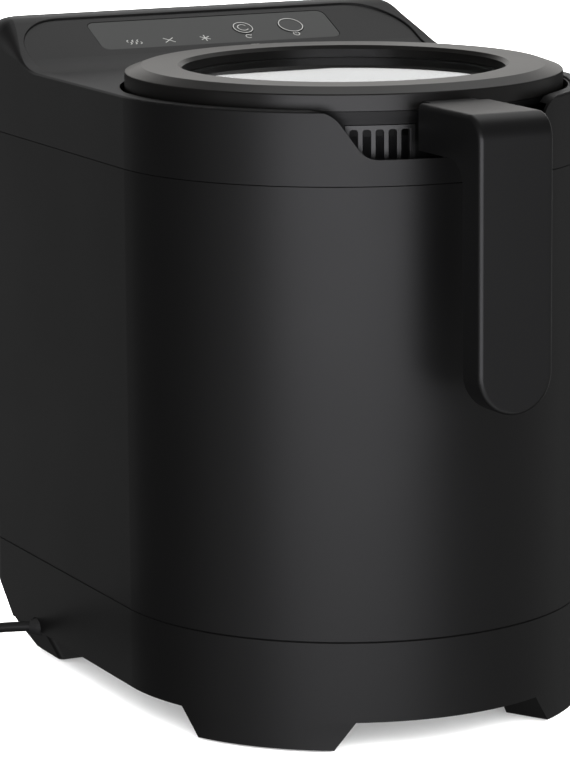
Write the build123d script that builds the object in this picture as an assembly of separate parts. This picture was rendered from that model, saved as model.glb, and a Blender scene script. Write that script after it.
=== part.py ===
from build123d import *
import math
import os

# Electric food waste composter: a counter-top casing with a lift-out bucket.
# Millimetres.  +Z is up, the front (carrying handle) faces -Y.  Everything is drawn about the bucket's
# axis; export() then moves it so that the origin lies on the floor under the middle of the machine.

# ---------------------------------------------------------------- driving dimensions
# casing
BODY_R = 130.0                     # half width, and radius of the round front
TAIL = 86.0                        # the back wall lies this much further out than the round front
BODY_BACK = BODY_R + TAIL          # bucket axis to the back wall
CORNER_R = 26.0                    # rear corners, seen from above
WALL = 2.6                         # casing wall
FOOT_Z = 1.2                       # underside of the moulded feet
SKIRT_EDGE = 16.4                  # lower edge of the skirt between the feet
LOWER_PARTING = 59.7               # skirt to main housing
UPPER_PARTING = 299.5              # main housing to top housing
RIM_Z = UPPER_PARTING + 38.5       # level rim around the bucket
RIDGE_RISE = 23.8                  # rear ridge above the rim
RIDGE_Z = RIM_Z + RIDGE_RISE
PARTING_CHAMFER = 0.5              # each side of a parting line
UNDER_RUN = 60.5                   # sloping underside at the back: how far forward it reaches
UNDER_TOP = LOWER_PARTING - 5.2    # and how far up
UNDER_R = 10.0                     # round between it and the back wall
FULL = 2.0 * (BODY_R + BODY_BACK)  # larger than the machine in every direction
HALL = LOWER_PARTING + RIDGE_Z     # taller than the machine

# radial steps from the casing in to the bucket
RIM_W = 9.0                        # level rim beside the bucket opening
HOLE_R = BODY_R - RIM_W            # bucket opening in the deck
WELL_R = HOLE_R - 1.5
COLLAR_RIM_R = HOLE_R - 2.7
COLLAR_R = COLLAR_RIM_R - 2.5
VENT_RING_W = 27.8                 # collar's outside to the pot's inside
POT_R = COLLAR_R - VENT_RING_W     # inside of the bucket
POT_WALL = 3.0
CUP_GAP = 3.0
CUP_R = POT_R + POT_WALL + CUP_GAP
POT_FLANGE_R = POT_R + POT_WALL + 5.0

# deck and control panel
DECK_SLOPE = 25.0                  # degrees
SLOPE_Y = BODY_BACK - 82.4         # where the deck starts to rise
BEND_R = 60.0                      # between the level deck and the slope
CREASE_R = 24.0                    # where the slope meets the ridge
CROWN_R = 14.0                     # round of the rear top edges
RIM_EDGE_R = 1.6                   # round of the rim at the front and the sides
EDGE_LIFT = 0.06                   # keeps these rounds clear of the flat faces' own planes
EDGE_STEPS = 30                    # straight steps of the growing round
DECK_T = 3.4
DECK_SINK = 1.0                    # deck field below its rim
DECK_EDGE_R = 0.8                  # round of the field's border
DECK_HALF = BODY_R - 8.0           # half width of the deck field
DECK_BACK = BODY_BACK - 32.0
DECK_CORNER_R = 34.0
OVERLAY_W = 150.6
OVERLAY_D = 30.0
OVERLAY_T = 1.0
OVERLAY_R = 5.0
OVERLAY_SINK = 1.2                 # depth of its recess
OVERLAY_GAP = 0.35
OVERLAY_Y = SLOPE_Y + 31.1
POWER_KEY_X = 48.5
POWER_KEY_R = 7.7
RESET_KEY_X = 17.8
RESET_KEY_R = 6.1
KEY_GAP = 0.25
KEY_PROUD = 0.25
KEY_TRAVEL = 0.4
KEY_STEM_R = 2.4
KEY_CHAMFER = 0.3
BOARD_DROP = 9.0                   # control board below the deck surface
BOARD_T = 1.6
BOARD_D = 24.0
BOARD_SCREW_IN = 5.0               # its screws, in from the ends
SPACER_R = 4.0
SWITCH_SIZE = 6.0
LED_SIZE = 5.0
LED_XS = (-54.0, -32.3, -9.6)
LED_TO_SPACER = 4.5
BOARD_W = 2 * (LED_SIZE / 2 - LED_XS[0] + LED_TO_SPACER + SPACER_R + BOARD_SCREW_IN)

# front scoop in the top housing
SCOOP_Z = UPPER_PARTING + 13.3
SCOOP_TOP = 64.5                   # half width of its unrounded corners
SCOOP_BOTTOM = 48.1
SCOOP_TOP_R = 15.0
SCOOP_BOTTOM_R = 12.0

# feet
FRONT_FOOT_TOP = (24.5, 69.1)      # degrees from the front, at the skirt edge
FRONT_FOOT_BOTTOM = (29.6, 64.0)
FOOT_DEPTH = 26.0
FOOT_COVE_R = 8.0                  # between the skirt's edge and a front foot
REAR_FOOT_Y = (BODY_BACK - 96.0, BODY_BACK - 44.0)
REAR_FOOT_DEPTH = 28.0
REAR_FOOT_TUCK = 8.0               # how far its outer face leans in
REAR_FOOT_R = 3.0
PAD_R = 8.0
PAD_T = FOOT_Z + 2.0
PAD_GAP = 0.2
FRONT_PAD_ANGLE = 51.0
FRONT_PAD_AT = BODY_R - 13.0       # radius of its centre

# base plate
PLATE_T = 3.0
PLATE_GAP = 0.2
POST_R = 5.5
CASE_POSTS = ((BODY_R - 26.0, 40.0), (BODY_R - 32.0, BODY_BACK - 58.0))
POST_RIB_T = 3.0
POST_RIB_H = 30.0
AIR_SLOTS = 6
AIR_SLOT = (60.0, 4.0)
AIR_SLOT_PITCH = 9.0
AIR_SLOT_FIRST = BODY_R - 18.0

# screws
SCREW_R = 1.75
SCREW_HOLE_R = 1.8
SCREW_HEAD_R = 3.6
SCREW_HEAD_T = 2.4
SLOT_DRIVE = 1.0
CASE_SCREW = 14.0
COVER_SCREW = 12.0
EAR_SCREW = 17.0
MOTOR_SCREW = 9.0
HANDLE_SCREW = 10.0

# well under the deck
LEDGE_Z = UPPER_PARTING - 9.5
SHEET_T = 2.4
WELL_DECK_T = 3.0
COUPLER_HOLE_R = 24.0
PORT_R = 22.0
HEATER_T = 2.6
HEATER_GAP = 0.1
LUG = (14.0, 12.0)
LUG_SLIT = 3.0
TOP_POSTS = ((BODY_R - 24.0, BODY_BACK - 100.0), (BODY_R - 42.0, BODY_BACK - 40.0))

# bucket
SEAT_GAP = 0.3
POT_FOOT = 168.0
POT_FLOOR = POT_FOOT + 17.0
COLLAR_T = 2.6
COLLAR_BOTTOM = UPPER_PARTING + 0.5
COLLAR_TOP = RIM_Z - 1.7
COLLAR_RIM_T = 3.2
SLEEVE_H = 12.0
POT_RIM = COLLAR_TOP - COLLAR_RIM_T - 0.1
POT_CORNER = 7.0
BOSS_R = 16.0
BOSS_TOP = POT_FLOOR + 13.0
BUSH_R = 12.0
PORT_Z = POT_FLOOR + 45.0
HEATER_Z = (POT_FOOT + 4.0, POT_FOOT + 34.0)

# vent grilles in the collar
GRILLE_ANGLES = (8.4, 26.4)        # degrees from the front
GRILLE_Z = (COLLAR_BOTTOM + 3.5, COLLAR_TOP - 7.1)
GRILLE_FIT = 0.2
GRILLE_PROUD = 1.5
GRILLE_FRAME = 2.0
SLOTS = 5
SLOT_PITCH = 3.32                  # degrees
SLOT_FIRST = 10.9
SLOT_W = 4.5
SLOT_Z = (GRILLE_Z[0] + 2.7, GRILLE_Z[1] - 2.4)
SLOT_R = 1.6

# handle
HANDLE_FACE = BODY_R + 61.8
HANDLE_HALF = 21.2
HANDLE_TOP = RIM_Z + 3.0
HANDLE_BOTTOM = HANDLE_TOP - 152.4
ARM_T = 24.0
GRIP_T = 17.5
HANDLE_OUTER_R = 13.0
HANDLE_INNER_R = 14.0
HANDLE_EDGE_R = 2.4
HANDLE_WALL = 3.0
COVER_T = 2.5
COVER_GAP = 0.2
ROOT_Y = -COLLAR_R - 11.2          # back end of the arm at its full width
ROOT_R = 4.0
NECK_HALF = 14.0                   # narrower neck that meets the collar
NECK_TRIM = 3.0
ROOT_WALL = 8.0
HANDLE_SCREW_X = 8.0

# lid
LID_R = COLLAR_RIM_R
LID_BEVEL_Z = COLLAR_TOP + 8.9
LID_TOP = LID_BEVEL_Z + 3.2
LID_FLAT_R = LID_R - 9.0
LID_HOLE_R = POT_R - 0.6
LID_CHAMFER = 2.0
LID_T = 3.0
LID_EDGE_R = 0.8
GLASS_T = 3.0
GLASS_TOP = LID_TOP - 6.5
GLASS_R = LID_HOLE_R + 10.6
RETAINER_T = 2.2
SPIGOT_R = POT_R - 3.1
SPIGOT_T = 2.4
SPIGOT_BOTTOM = COLLAR_TOP - 7.3
GASKET_R = POT_R - 0.3
LID_BOSS_AT = LID_FLAT_R - 5.3
LID_BOSS_R = 3.5
MARK_W = 5.0
MARK_D = 1.4
MARK_T = 0.4

# stirring rotor
SHAFT_R = 8.0
RUN_FIT = 0.06
PRESS_FIT = 0.02
HUB_R = 21.0
HUB_SKIRT_R = 17.0
HUB_TOP = POT_FLOOR + 55.0
LOW_ARM = (POT_FLOOR + 5.0, POT_FLOOR + 17.0)
HIGH_ARM = (POT_FLOOR + 37.0, POT_FLOOR + 46.0)
LOW_ARM_R = POT_R - 4.0
HIGH_ARM_R = POT_R - 14.0
LOW_ARM_W = 20.0
HIGH_ARM_W = 17.0
FIXED_BLADE = (LOW_ARM[1] + 4.5, HIGH_ARM[0] - 4.5)
FIXED_BLADE_R = HUB_R + 17.0
BLADE_ROOT = 5.0                   # half thickness at the wall, and at the tip
BLADE_TIP = 2.2
BLADE_PIN_R = 3.0

# dog clutch under the bucket
SOCKET_R = 20.0
SOCKET_DEPTH = 8.0
SOCKET_TOP = POT_FLOOR - POT_WALL - 0.4
SOCKET_ROOF = SOCKET_TOP - 4.2
SOCKET_BOTTOM = SOCKET_ROOF - SOCKET_DEPTH
STAR_CORE_R = 8.6
STAR_R = 13.6
STAR_W = 5.2
STAR_FIT = 0.4
STAR_TOP = SOCKET_ROOF - 0.6
CUP_FLOOR = POT_FOOT - SEAT_GAP
STAR_BOTTOM = CUP_FLOOR - 5.7
STAR_FOOT = 4.0

# gear train
CASE_H = 41.0
CASE_Z = STAR_BOTTOM - 16.0 - CASE_H
CASE_T = 3.0
CASE_TOP = CASE_Z + CASE_H
COVER_PLATE_T = 3.5
OUT_TEETH = 55
OUT_MODULE = 1.5
OUT_PINION_TEETH = 15
IN_TEETH = 60
IN_MODULE = 1.2
MOTOR_TEETH = 15
BACKLASH = 0.22
OUT_SHAFT_R = 7.0
IDLER_PIN_R = 4.0
MOTOR_SHAFT_R = 3.0
BEARING_R = 13.0
BEARING_H = 7.0
COVER_BOSS_H = 10.0
GEAR_Z = (CASE_Z + 11.0, CASE_Z + 23.0)
IDLER_Z = (CASE_Z + 9.5, CASE_Z + 25.5)
IN_GEAR_Z = (IDLER_Z[1], CASE_Z + 35.5)
MOTOR_PINION_Z = (GEAR_Z[1], CASE_Z + 38.5)
GEAR_HUB_R = 15.0
GEAR_HUB_H = 3.0
MOTOR_R = 31.0
MOTOR_L = 65.0
MOTOR_BOTTOM = CASE_Z - MOTOR_L
MOTOR_CAP_R = 10.0
MOTOR_CAP_H = 6.0
MOTOR_SCREW_X = 18.0
CASE_CLEAR = 1.5
EAR_R = 8.0
EAR_T = 5.0
COVER_POST_R = 5.0

# filter drawer and exhaust fan
FAN_SIZE = 80.0
FAN_T = 20.0
FAN_HOLE_R = FAN_SIZE / 2 - 2.0
FAN_TIP_R = FAN_HOLE_R - 1.2
FAN_HUB_R = 14.0
FAN_BLADES = 7
FAN_BLADE_T = 1.6
FAN_BLADE_W = 15.0
FAN_STRUT_W = 5.0
FAN_STRUT_T = 4.0
FAN_PIN_R = 1.5
DUCT_T = 2.0
DUCT_R = PORT_R + 2.0
FILTER_HALF = FAN_SIZE / 2 + 10.0
FILTER_Z = (PORT_Z - 54.0, PORT_Z + 54.0)
FILTER_BOX_T = 2.0
FILTER_BOX_DEPTH = 41.1
FILTER_BOX_BACK = BODY_BACK - WALL - 0.1
FILTER_BOX_FRONT = FILTER_BOX_BACK - FILTER_BOX_DEPTH
FILTER_COVER_GAP = 0.4
FILTER_COVER_T = 2.6
CARTRIDGE_T = 28.0
CARTRIDGE_CHAMFER = 3.0
LOUVRES = 9
LOUVRE_PITCH = 8.0
LOUVRE_FIRST = 16.0
LOUVRE_W = 2.6
PULL = (34.0, 5.5)                 # length and radius of the finger hollow
PULL_DROP = 9.0                    # its middle below the cover's upper edge
PULL_WALL = 3.0

# power board
POWER_BOARD = (126.0, 76.0)
POWER_BOARD_Y = 82.0 - BODY_R
POWER_BOARD_IN = 6.0
STAND_OFF = 6.6
STAND_OFF_R = 4.0
TRANSFORMER = (34.0, 30.0, 28.0)
TRANSFORMER_X = -28.0
RELAY = (28.0, 13.0, 16.0)
SINK = (36.0, 4.0, 26.0)
SINK_FIN = (2.0, 8.0)
SINK_FINS = 4
SINK_X = 30.0
CAPACITOR = (7.0, 24.0)
CAPACITOR_X = 4.0
PARTS_Y = 15.0

# mains cord
CORD_R = 3.0
CORD_EXIT = (-BODY_R, BODY_BACK - 79.0, SKIRT_EDGE + 1.8)
EXIT_YAW = 38.0                    # degrees that the outlet points back from -X
RELIEF_R = 5.0
RELIEF_IN = 22.0
RELIEF_OUT = 3.0
COIL_TURNS = (39.0, 33.0, 27.0, 30.0, 36.0)
CORD_REST = CORD_R + 0.05

# ---------------------------------------------------------------- derived values
AXIS_Y = (HANDLE_FACE - BODY_BACK) / 2.0
RISE = math.tan(math.radians(DECK_SLOPE))
CREASE_Y = SLOPE_Y + RIDGE_RISE / RISE
CORNER_Y = BODY_BACK - CORNER_R
PLATE_Z = SKIRT_EDGE
PLATE_TOP = PLATE_Z + PLATE_T
POWER_BOARD_Z = PLATE_TOP + STAND_OFF
UNDER_ANGLE = math.atan2(UNDER_TOP - FOOT_Z, UNDER_RUN)
UNDER_EDGE_Y = BODY_BACK - UNDER_RUN + (PLATE_Z - FOOT_Z) / math.tan(UNDER_ANGLE)
PLATE_BACK = UNDER_EDGE_Y - (WALL + PLATE_GAP) / math.sin(UNDER_ANGLE)
ARM_BOTTOM = HANDLE_TOP - ARM_T
GRIP_BACK = HANDLE_FACE - GRIP_T
IDLER_Y = OUT_MODULE * (OUT_TEETH + OUT_PINION_TEETH) / 2.0
MOTOR_Y = IDLER_Y + IN_MODULE * (IN_TEETH + MOTOR_TEETH) / 2.0
OUT_CASE_R = (OUT_TEETH / 2 + 1) * OUT_MODULE + CASE_CLEAR + CASE_T
IN_CASE_R = (IN_TEETH / 2 + 1) * IN_MODULE + CASE_CLEAR + CASE_T
EARS = ((OUT_CASE_R + 8.8, 4.0), (IN_CASE_R + 6.3, IDLER_Y + 23.5))
FAN_FRONT = FILTER_BOX_FRONT - 0.2 - FAN_T
CASE_WALL_TOP = CASE_TOP + COVER_PLATE_T
LOW = (Align.CENTER, Align.CENTER, Align.MIN)


# ---------------------------------------------------------------- helpers
def export(node, *solids):
    """Write one node's solids, moved so that the origin lies under the middle of the machine."""
    placed = [Pos(0, AXIS_Y, 0) * solid for group in solids for solid in group.solids()]
    export_step(placed[0] if len(placed) == 1 else Compound(placed), f"parts/{node}.step")


def rod(x, y, z0, z1, radius):
    """Upright cylinder from z0 to z1."""
    return Pos(x, y, z0) * Cylinder(radius, z1 - z0, align=LOW)


def turned(*points):
    """Solid of revolution about Z from its (radius, z) outline."""
    return revolve(Plane.XZ * Polygon(*points, align=None), Axis.Z)


def side_bar(outline, half_width):
    """A (y, z) outline extruded to both sides of the symmetry plane."""
    return extrude(Plane.YZ * outline, half_width, both=True)


def mirrored(solid):
    """The solid and its mirror image across the symmetry plane."""
    return [solid, mirror(solid, Plane.YZ)]


def footprint(inset=0.0):
    """Plan outline of the casing: round front, straight sides, rounded rear corners."""
    half = BODY_R - inset
    back = BODY_BACK - inset
    tail = Pos(0, back / 2) * Rectangle(2 * half, back)
    tail = fillet(tail.vertices().group_by(Axis.Y)[-1], CORNER_R - inset)
    return Circle(half) + tail


def prism(inset, z0, z1):
    """The casing's plan outline between two heights."""
    return Pos(0, 0, z0) * extrude(footprint(inset), z1 - z0)


def sector(r0, r1, angle0, angle1, z0, z1):
    """Part of a ring between two angles, counted in degrees from the front towards +X."""
    reach = 3 * r1
    corners = [(0, 0)]
    for angle in (angle0, angle1):
        a = math.radians(angle)
        corners.append((reach * math.sin(a), -reach * math.cos(a)))
    ring = Circle(r1) - Circle(r0)
    return Pos(0, 0, z0) * extrude(ring & Polygon(*corners, align=None), z1 - z0)


def screw(length):
    """Pan-head screw standing at the origin, head down, shank up."""
    head = Cylinder(SCREW_HEAD_R, SCREW_HEAD_T, align=LOW)
    slot = Box(SCREW_HEAD_R * 1.2, SLOT_DRIVE, SCREW_HEAD_T * 0.8)
    return head + rod(0, 0, SCREW_HEAD_T, SCREW_HEAD_T + length, SCREW_R) - slot


# ---------------------------------------------------------------- casing
def under_keep(inset=0.0):
    """Everything above the sloping underside at the back of the skirt."""
    slope = math.tan(UNDER_ANGLE)
    back = BODY_BACK - inset
    corner = UNDER_TOP - inset * slope + inset / math.cos(UNDER_ANGLE)
    low = -UNDER_TOP
    outline = Polygon(
        (-FULL, low), (back - (corner - low) / slope, low), (back, corner), (back, HALL), (-FULL, HALL),
        align=None)
    edge = [v for v in outline.vertices() if abs(v.X - back) < 0.01 and abs(v.Y - corner) < 0.01]
    return side_bar(fillet(edge, UNDER_R - inset), FULL)


def front_foot():
    """Left front foot: a stub of the round skirt wall with sloping ends."""
    faces = []
    for z, angles in ((FOOT_Z, FRONT_FOOT_BOTTOM), (SKIRT_EDGE, FRONT_FOOT_TOP)):
        stub = sector(BODY_R - FOOT_DEPTH, BODY_R, -angles[1], -angles[0], z, z + 1)
        faces.append(stub.faces().sort_by(Axis.Z)[0])
    return loft(faces)


def foot_cove(angle, side):
    """Hollow round between the skirt's edge and the end of a front foot, angle counted from the front."""
    a = math.radians(angle)
    lean = math.radians(abs(FRONT_FOOT_TOP[0] - FRONT_FOOT_BOTTOM[0])) * BODY_R / (SKIRT_EDGE - FOOT_Z)
    down = Vector(lean, -1).normalized()
    reach = FOOT_COVE_R * math.tan((math.pi / 2 - math.atan(lean)) / 2)
    corner = Polygon((0, 0), (-reach, 0), (down.X * reach, down.Y * reach), align=None)
    hollow = corner - Pos(-reach, -FOOT_COVE_R) * Circle(FOOT_COVE_R)
    if side < 0:
        hollow = mirror(hollow, Plane.YZ)
    frame = Plane(
        origin=(-BODY_R * math.sin(a), -BODY_R * math.cos(a), SKIRT_EDGE),
        x_dir=(-math.cos(a), math.sin(a), 0), z_dir=(-math.sin(a), -math.cos(a), 0))
    bar = frame * extrude(hollow, FOOT_DEPTH, both=True)
    return bar & (rod(0, 0, 0, LOWER_PARTING, BODY_R) - rod(0, 0, -1, LOWER_PARTING + 1, BODY_R - WALL))


def rear_foot():
    """Left rear foot: a block whose outer face leans in towards the floor."""
    y0, y1 = REAR_FOOT_Y
    middle = (y0 + y1) / 2
    top = Pos(-BODY_R + REAR_FOOT_DEPTH / 2, middle, SKIRT_EDGE)
    top *= RectangleRounded(REAR_FOOT_DEPTH, y1 - y0, REAR_FOOT_R)
    width = REAR_FOOT_DEPTH - REAR_FOOT_TUCK - 1
    low = Pos(-BODY_R + REAR_FOOT_TUCK + width / 2, middle - 2, FOOT_Z)
    low *= RectangleRounded(width, y1 - y0 - 2 * REAR_FOOT_R, REAR_FOOT_R)
    return loft([low.face(), top.face()]) & under_keep()


def pad_places():
    """Centres of the four rubber pads."""
    a = math.radians(FRONT_PAD_ANGLE)
    front = (FRONT_PAD_AT * math.sin(a), -FRONT_PAD_AT * math.cos(a))
    rear = (BODY_R - REAR_FOOT_TUCK - PAD_R - 1.5, sum(REAR_FOOT_Y) / 2 - 2)
    return [(s * x, y) for x, y in (front, rear) for s in (-1, 1)]


def outlet_frame():
    """Plane at the cord outlet: its z points out along the cord."""
    a = math.radians(EXIT_YAW)
    return Plane(origin=CORD_EXIT, x_dir=(0, 0, 1), z_dir=(-math.cos(a), math.sin(a), 0))


def outlet_bore(clearance=0.2):
    """Hole that the cord's strain relief sits in."""
    bore = Cylinder(RELIEF_R + clearance, 2 * RELIEF_IN + 1)
    return outlet_frame() * bore


def base_skirt():
    """Skirt with its four feet."""
    wall = prism(0, SKIRT_EDGE, LOWER_PARTING) & under_keep()
    rim = wall.faces().sort_by(Axis.Z)[-1].edges()
    wall = chamfer(rim, PARTING_CHAMFER)
    wall -= prism(WALL, SKIRT_EDGE - 1, LOWER_PARTING + 1) & under_keep(WALL)
    for foot in mirrored(front_foot()) + mirrored(rear_foot()):
        wall += foot
    for angle, side in ((FRONT_FOOT_TOP[0], 1), (FRONT_FOOT_TOP[1], -1)):
        for cove in mirrored(foot_cove(angle, side)):
            wall += cove
    for x, y in pad_places():
        wall -= rod(x, y, 0, PAD_T + PAD_GAP, PAD_R + PAD_GAP)
    return wall - outlet_bore()


def foot_pads():
    """Rubber pads pressed into the feet."""
    return [rod(x, y, 0, PAD_T, PAD_R) for x, y in pad_places()]


def main_housing():
    """Middle shell with the filter opening, a ledge for the well and screw posts."""
    shell = prism(0, LOWER_PARTING, UPPER_PARTING)
    ends = shell.faces().filter_by(Axis.Z).edges()
    shell = chamfer(ends, PARTING_CHAMFER)
    shell -= prism(WALL, LOWER_PARTING - 1, UPPER_PARTING + 1)
    ledge_top = UPPER_PARTING - WELL_DECK_T - PLATE_GAP
    shell += prism(WALL, ledge_top - 3, ledge_top) - prism(WALL + 4, ledge_top - 4, ledge_top + 1)
    for x, y in CASE_POSTS:
        rib = Box(BODY_R - 1 - x, POST_RIB_T, POST_RIB_H, align=LOW)
        rib = Pos((x + BODY_R - 1) / 2, y, LOWER_PARTING) * rib
        for piece in mirrored(rod(x, y, PLATE_TOP, LOWER_PARTING + POST_RIB_H, POST_R) + rib):
            shell += piece
    for x, y in CASE_POSTS:
        for side in (-1, 1):
            shell -= rod(side * x, y, PLATE_TOP - 1, PLATE_TOP + CASE_SCREW + 2, SCREW_HOLE_R)
    height = FILTER_Z[1] - FILTER_Z[0]
    opening = Pos(0, BODY_BACK, FILTER_Z[0]) * Box(2 * FILTER_HALF, 4 * WALL, height, align=LOW)
    return shell - opening


def deck_z(y):
    """Height of the sloping deck plane above the rim's level."""
    return RIM_Z + (y - SLOPE_Y) * RISE


def top_height(y):
    """Height of the top surface: level rim, bend, slope, crease and ridge."""
    half = math.radians(DECK_SLOPE / 2)
    bend = BEND_R * math.tan(half)
    crease = CREASE_R * math.tan(half)
    along = math.cos(math.radians(DECK_SLOPE))
    if y <= SLOPE_Y - bend:
        return RIM_Z
    if y < SLOPE_Y + bend * along:
        return RIM_Z + BEND_R - math.sqrt(BEND_R ** 2 - (y - SLOPE_Y + bend) ** 2)
    if y <= CREASE_Y - crease * along:
        return deck_z(y)
    if y < CREASE_Y + crease:
        return RIDGE_Z - CREASE_R + math.sqrt(CREASE_R ** 2 - (CREASE_Y + crease - y) ** 2)
    return RIDGE_Z


def deck_drop(depth):
    """Vertical distance that is the given depth square to the slope."""
    return depth / math.cos(math.radians(DECK_SLOPE))


def below_deck(depth):
    """Everything lower than the top surface less depth."""
    drop = deck_drop(depth)
    outline = Polygon(
        (-FULL, 0), (-FULL, RIM_Z - drop), (SLOPE_Y, RIM_Z - drop), (CREASE_Y, RIDGE_Z - drop),
        (FULL, RIDGE_Z - drop), (FULL, 0), align=None)
    bend = [v for v in outline.vertices() if abs(v.X - SLOPE_Y) < 0.01]
    outline = fillet(bend, BEND_R)
    crease = [v for v in outline.vertices() if abs(v.X - CREASE_Y) < 0.01]
    outline = fillet(crease, CREASE_R)
    return side_bar(outline, FULL)


def edge_radius(y, inset):
    """Round of the top edge: small along the rim, growing to the crown's round at the rear corners."""
    t = min(max((y - SLOPE_Y) / (CORNER_Y - SLOPE_Y), 0.0), 1.0)
    return max(RIM_EDGE_R + (CROWN_R - RIM_EDGE_R) * t * t * (3 - 2 * t) - inset, 0.5)


def edge_waste(radius, height, wall):
    """Section outside the rounded top edge of a wall at x = -wall whose top is at height."""
    out = 4.0
    side = -wall - EDGE_LIFT
    top = height + EDGE_LIFT
    low = top - radius
    near = side + radius
    bow = radius * math.sqrt(0.5)
    outline = Polyline(
        (near, top), (near, top + out), (side - out, top + out), (side - out, low), (side, low))
    outline += ThreePointArc((side, low), (near - bow, low + bow), (near, top))
    return make_face(outline)


def top_form(inset, top_inset):
    """Solid form of the top housing: level rim, sloping deck and ridge with rounded outer edges."""
    form = prism(inset, UPPER_PARTING, HALL) & below_deck(top_inset)
    drop = deck_drop(top_inset)
    wall = BODY_R - inset
    rim = edge_waste(edge_radius(0, inset), RIM_Z - drop, wall)
    form -= revolve(Plane.XZ * rim, Axis.Z, 180)
    start = SLOPE_Y - BEND_R * math.tan(math.radians(DECK_SLOPE / 2))
    side = [extrude(Plane.XZ * rim, -start)]
    stations = [start + (CORNER_Y - start) * n / EDGE_STEPS for n in range(EDGE_STEPS + 1)]
    sections = [
        Plane(origin=(0, y, 0), x_dir=(1, 0, 0), z_dir=(0, -1, 0))
        * edge_waste(edge_radius(y, inset), top_height(y) - drop, wall) for y in stations]
    side.append(loft(sections, ruled=True))
    crown = edge_waste(edge_radius(CORNER_Y, inset), RIDGE_Z - drop, CORNER_R - inset)
    corner = revolve(Plane.XZ * crown, Axis.Z, -90)
    side.append(Pos(CORNER_R - BODY_R, CORNER_Y, 0) * corner)
    rear = Plane(origin=(0, CORNER_Y, 0), x_dir=(0, -1, 0), z_dir=(-1, 0, 0)) * crown
    form -= extrude(rear, BODY_R - CORNER_R, both=True)
    for piece in side:
        for waste in mirrored(piece):
            form -= waste
    return form


def panel_frame(depth=0.0):
    """Plane on the sloping deck at the middle of the control panel, depth below the deck field."""
    a = math.radians(DECK_SLOPE)
    normal = Vector(0, -math.sin(a), math.cos(a))
    centre = Vector(0, OVERLAY_Y, deck_z(OVERLAY_Y)) - normal * (DECK_SINK + depth)
    return Plane(origin=centre, x_dir=(1, 0, 0), z_dir=normal)


def keys():
    """Name, place across the panel and radius of each key."""
    return (("power", POWER_KEY_X, POWER_KEY_R), ("reset", RESET_KEY_X, RESET_KEY_R))


def sunk_form():
    """The top housing's solid form with its deck field let in and the field's border rounded."""
    field = Pos(0, DECK_BACK / 2) * Rectangle(2 * DECK_HALF, DECK_BACK)
    field = fillet(field.vertices().group_by(Axis.Y)[-1], DECK_CORNER_R) + Circle(DECK_HALF)
    form = top_form(0, 0) - (Pos(0, 0, UPPER_PARTING) * extrude(field, HALL) - below_deck(DECK_SINK))
    border = []
    for face in form.faces():
        box = face.bounding_box()
        inside = max(box.max.X, -box.min.X) < DECK_HALF + 0.01 and box.max.Y < DECK_BACK + 0.01
        if inside and abs(face.normal_at().Z) < 0.01 and box.min.Z > RIM_Z - 2 * DECK_SINK:
            for edge in face.edges():
                middle = edge.position_at(0.5)
                level = abs(edge.tangent_at(0.5).Z) < 0.9
                if level and abs(middle.Z - top_height(middle.Y)) < DECK_SINK / 3:
                    border.append(edge)
    return form.fillet(DECK_EDGE_R, border)


def top_housing():
    """Top shell: deck with the bucket opening, the panel recess and the scoop for the handle."""
    shell = sunk_form() - top_form(WALL, DECK_T)
    shell -= prism(WALL, UPPER_PARTING - 1, UPPER_PARTING + 1)
    for x, y in TOP_POSTS:
        post = rod(x, y, UPPER_PARTING, top_height(y) - DECK_T / 2, POST_R) & below_deck(DECK_T / 2)
        for piece in mirrored(post):
            shell += piece
    for x, y in TOP_POSTS:
        for side in (-1, 1):
            shell -= rod(side * x, y, UPPER_PARTING - 1, UPPER_PARTING + CASE_SCREW, SCREW_HOLE_R)
    shell -= rod(0, 0, UPPER_PARTING - 5, HALL, HOLE_R)
    recess = RectangleRounded(
        OVERLAY_W + 2 * OVERLAY_GAP, OVERLAY_D + 2 * OVERLAY_GAP, OVERLAY_R + OVERLAY_GAP)
    shell -= panel_frame(OVERLAY_SINK) * extrude(recess, 5)
    for _, x, radius in keys():
        shell -= panel_frame() * Pos(x, 0) * Cylinder(KEY_STEM_R + 0.3, 4 * DECK_T)
    lip = RIM_Z + SCOOP_TOP_R / 2
    scoop = Polygon(
        (-SCOOP_TOP, RIM_Z), (-SCOOP_BOTTOM, SCOOP_Z), (SCOOP_BOTTOM, SCOOP_Z), (SCOOP_TOP, RIM_Z),
        (2 * SCOOP_TOP, RIM_Z), (2 * SCOOP_TOP, lip), (-2 * SCOOP_TOP, lip), (-2 * SCOOP_TOP, RIM_Z),
        align=None)
    low = [v for v in scoop.vertices() if abs(v.Y - SCOOP_Z) < 0.01]
    scoop = fillet(low, SCOOP_BOTTOM_R)
    high = [v for v in scoop.vertices() if abs(abs(v.X) - SCOOP_TOP) < 0.01 and abs(v.Y - RIM_Z) < 0.01]
    scoop = fillet(high, SCOOP_TOP_R)
    return shell - extrude(Plane.XZ * scoop, BODY_R + 10)


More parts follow.
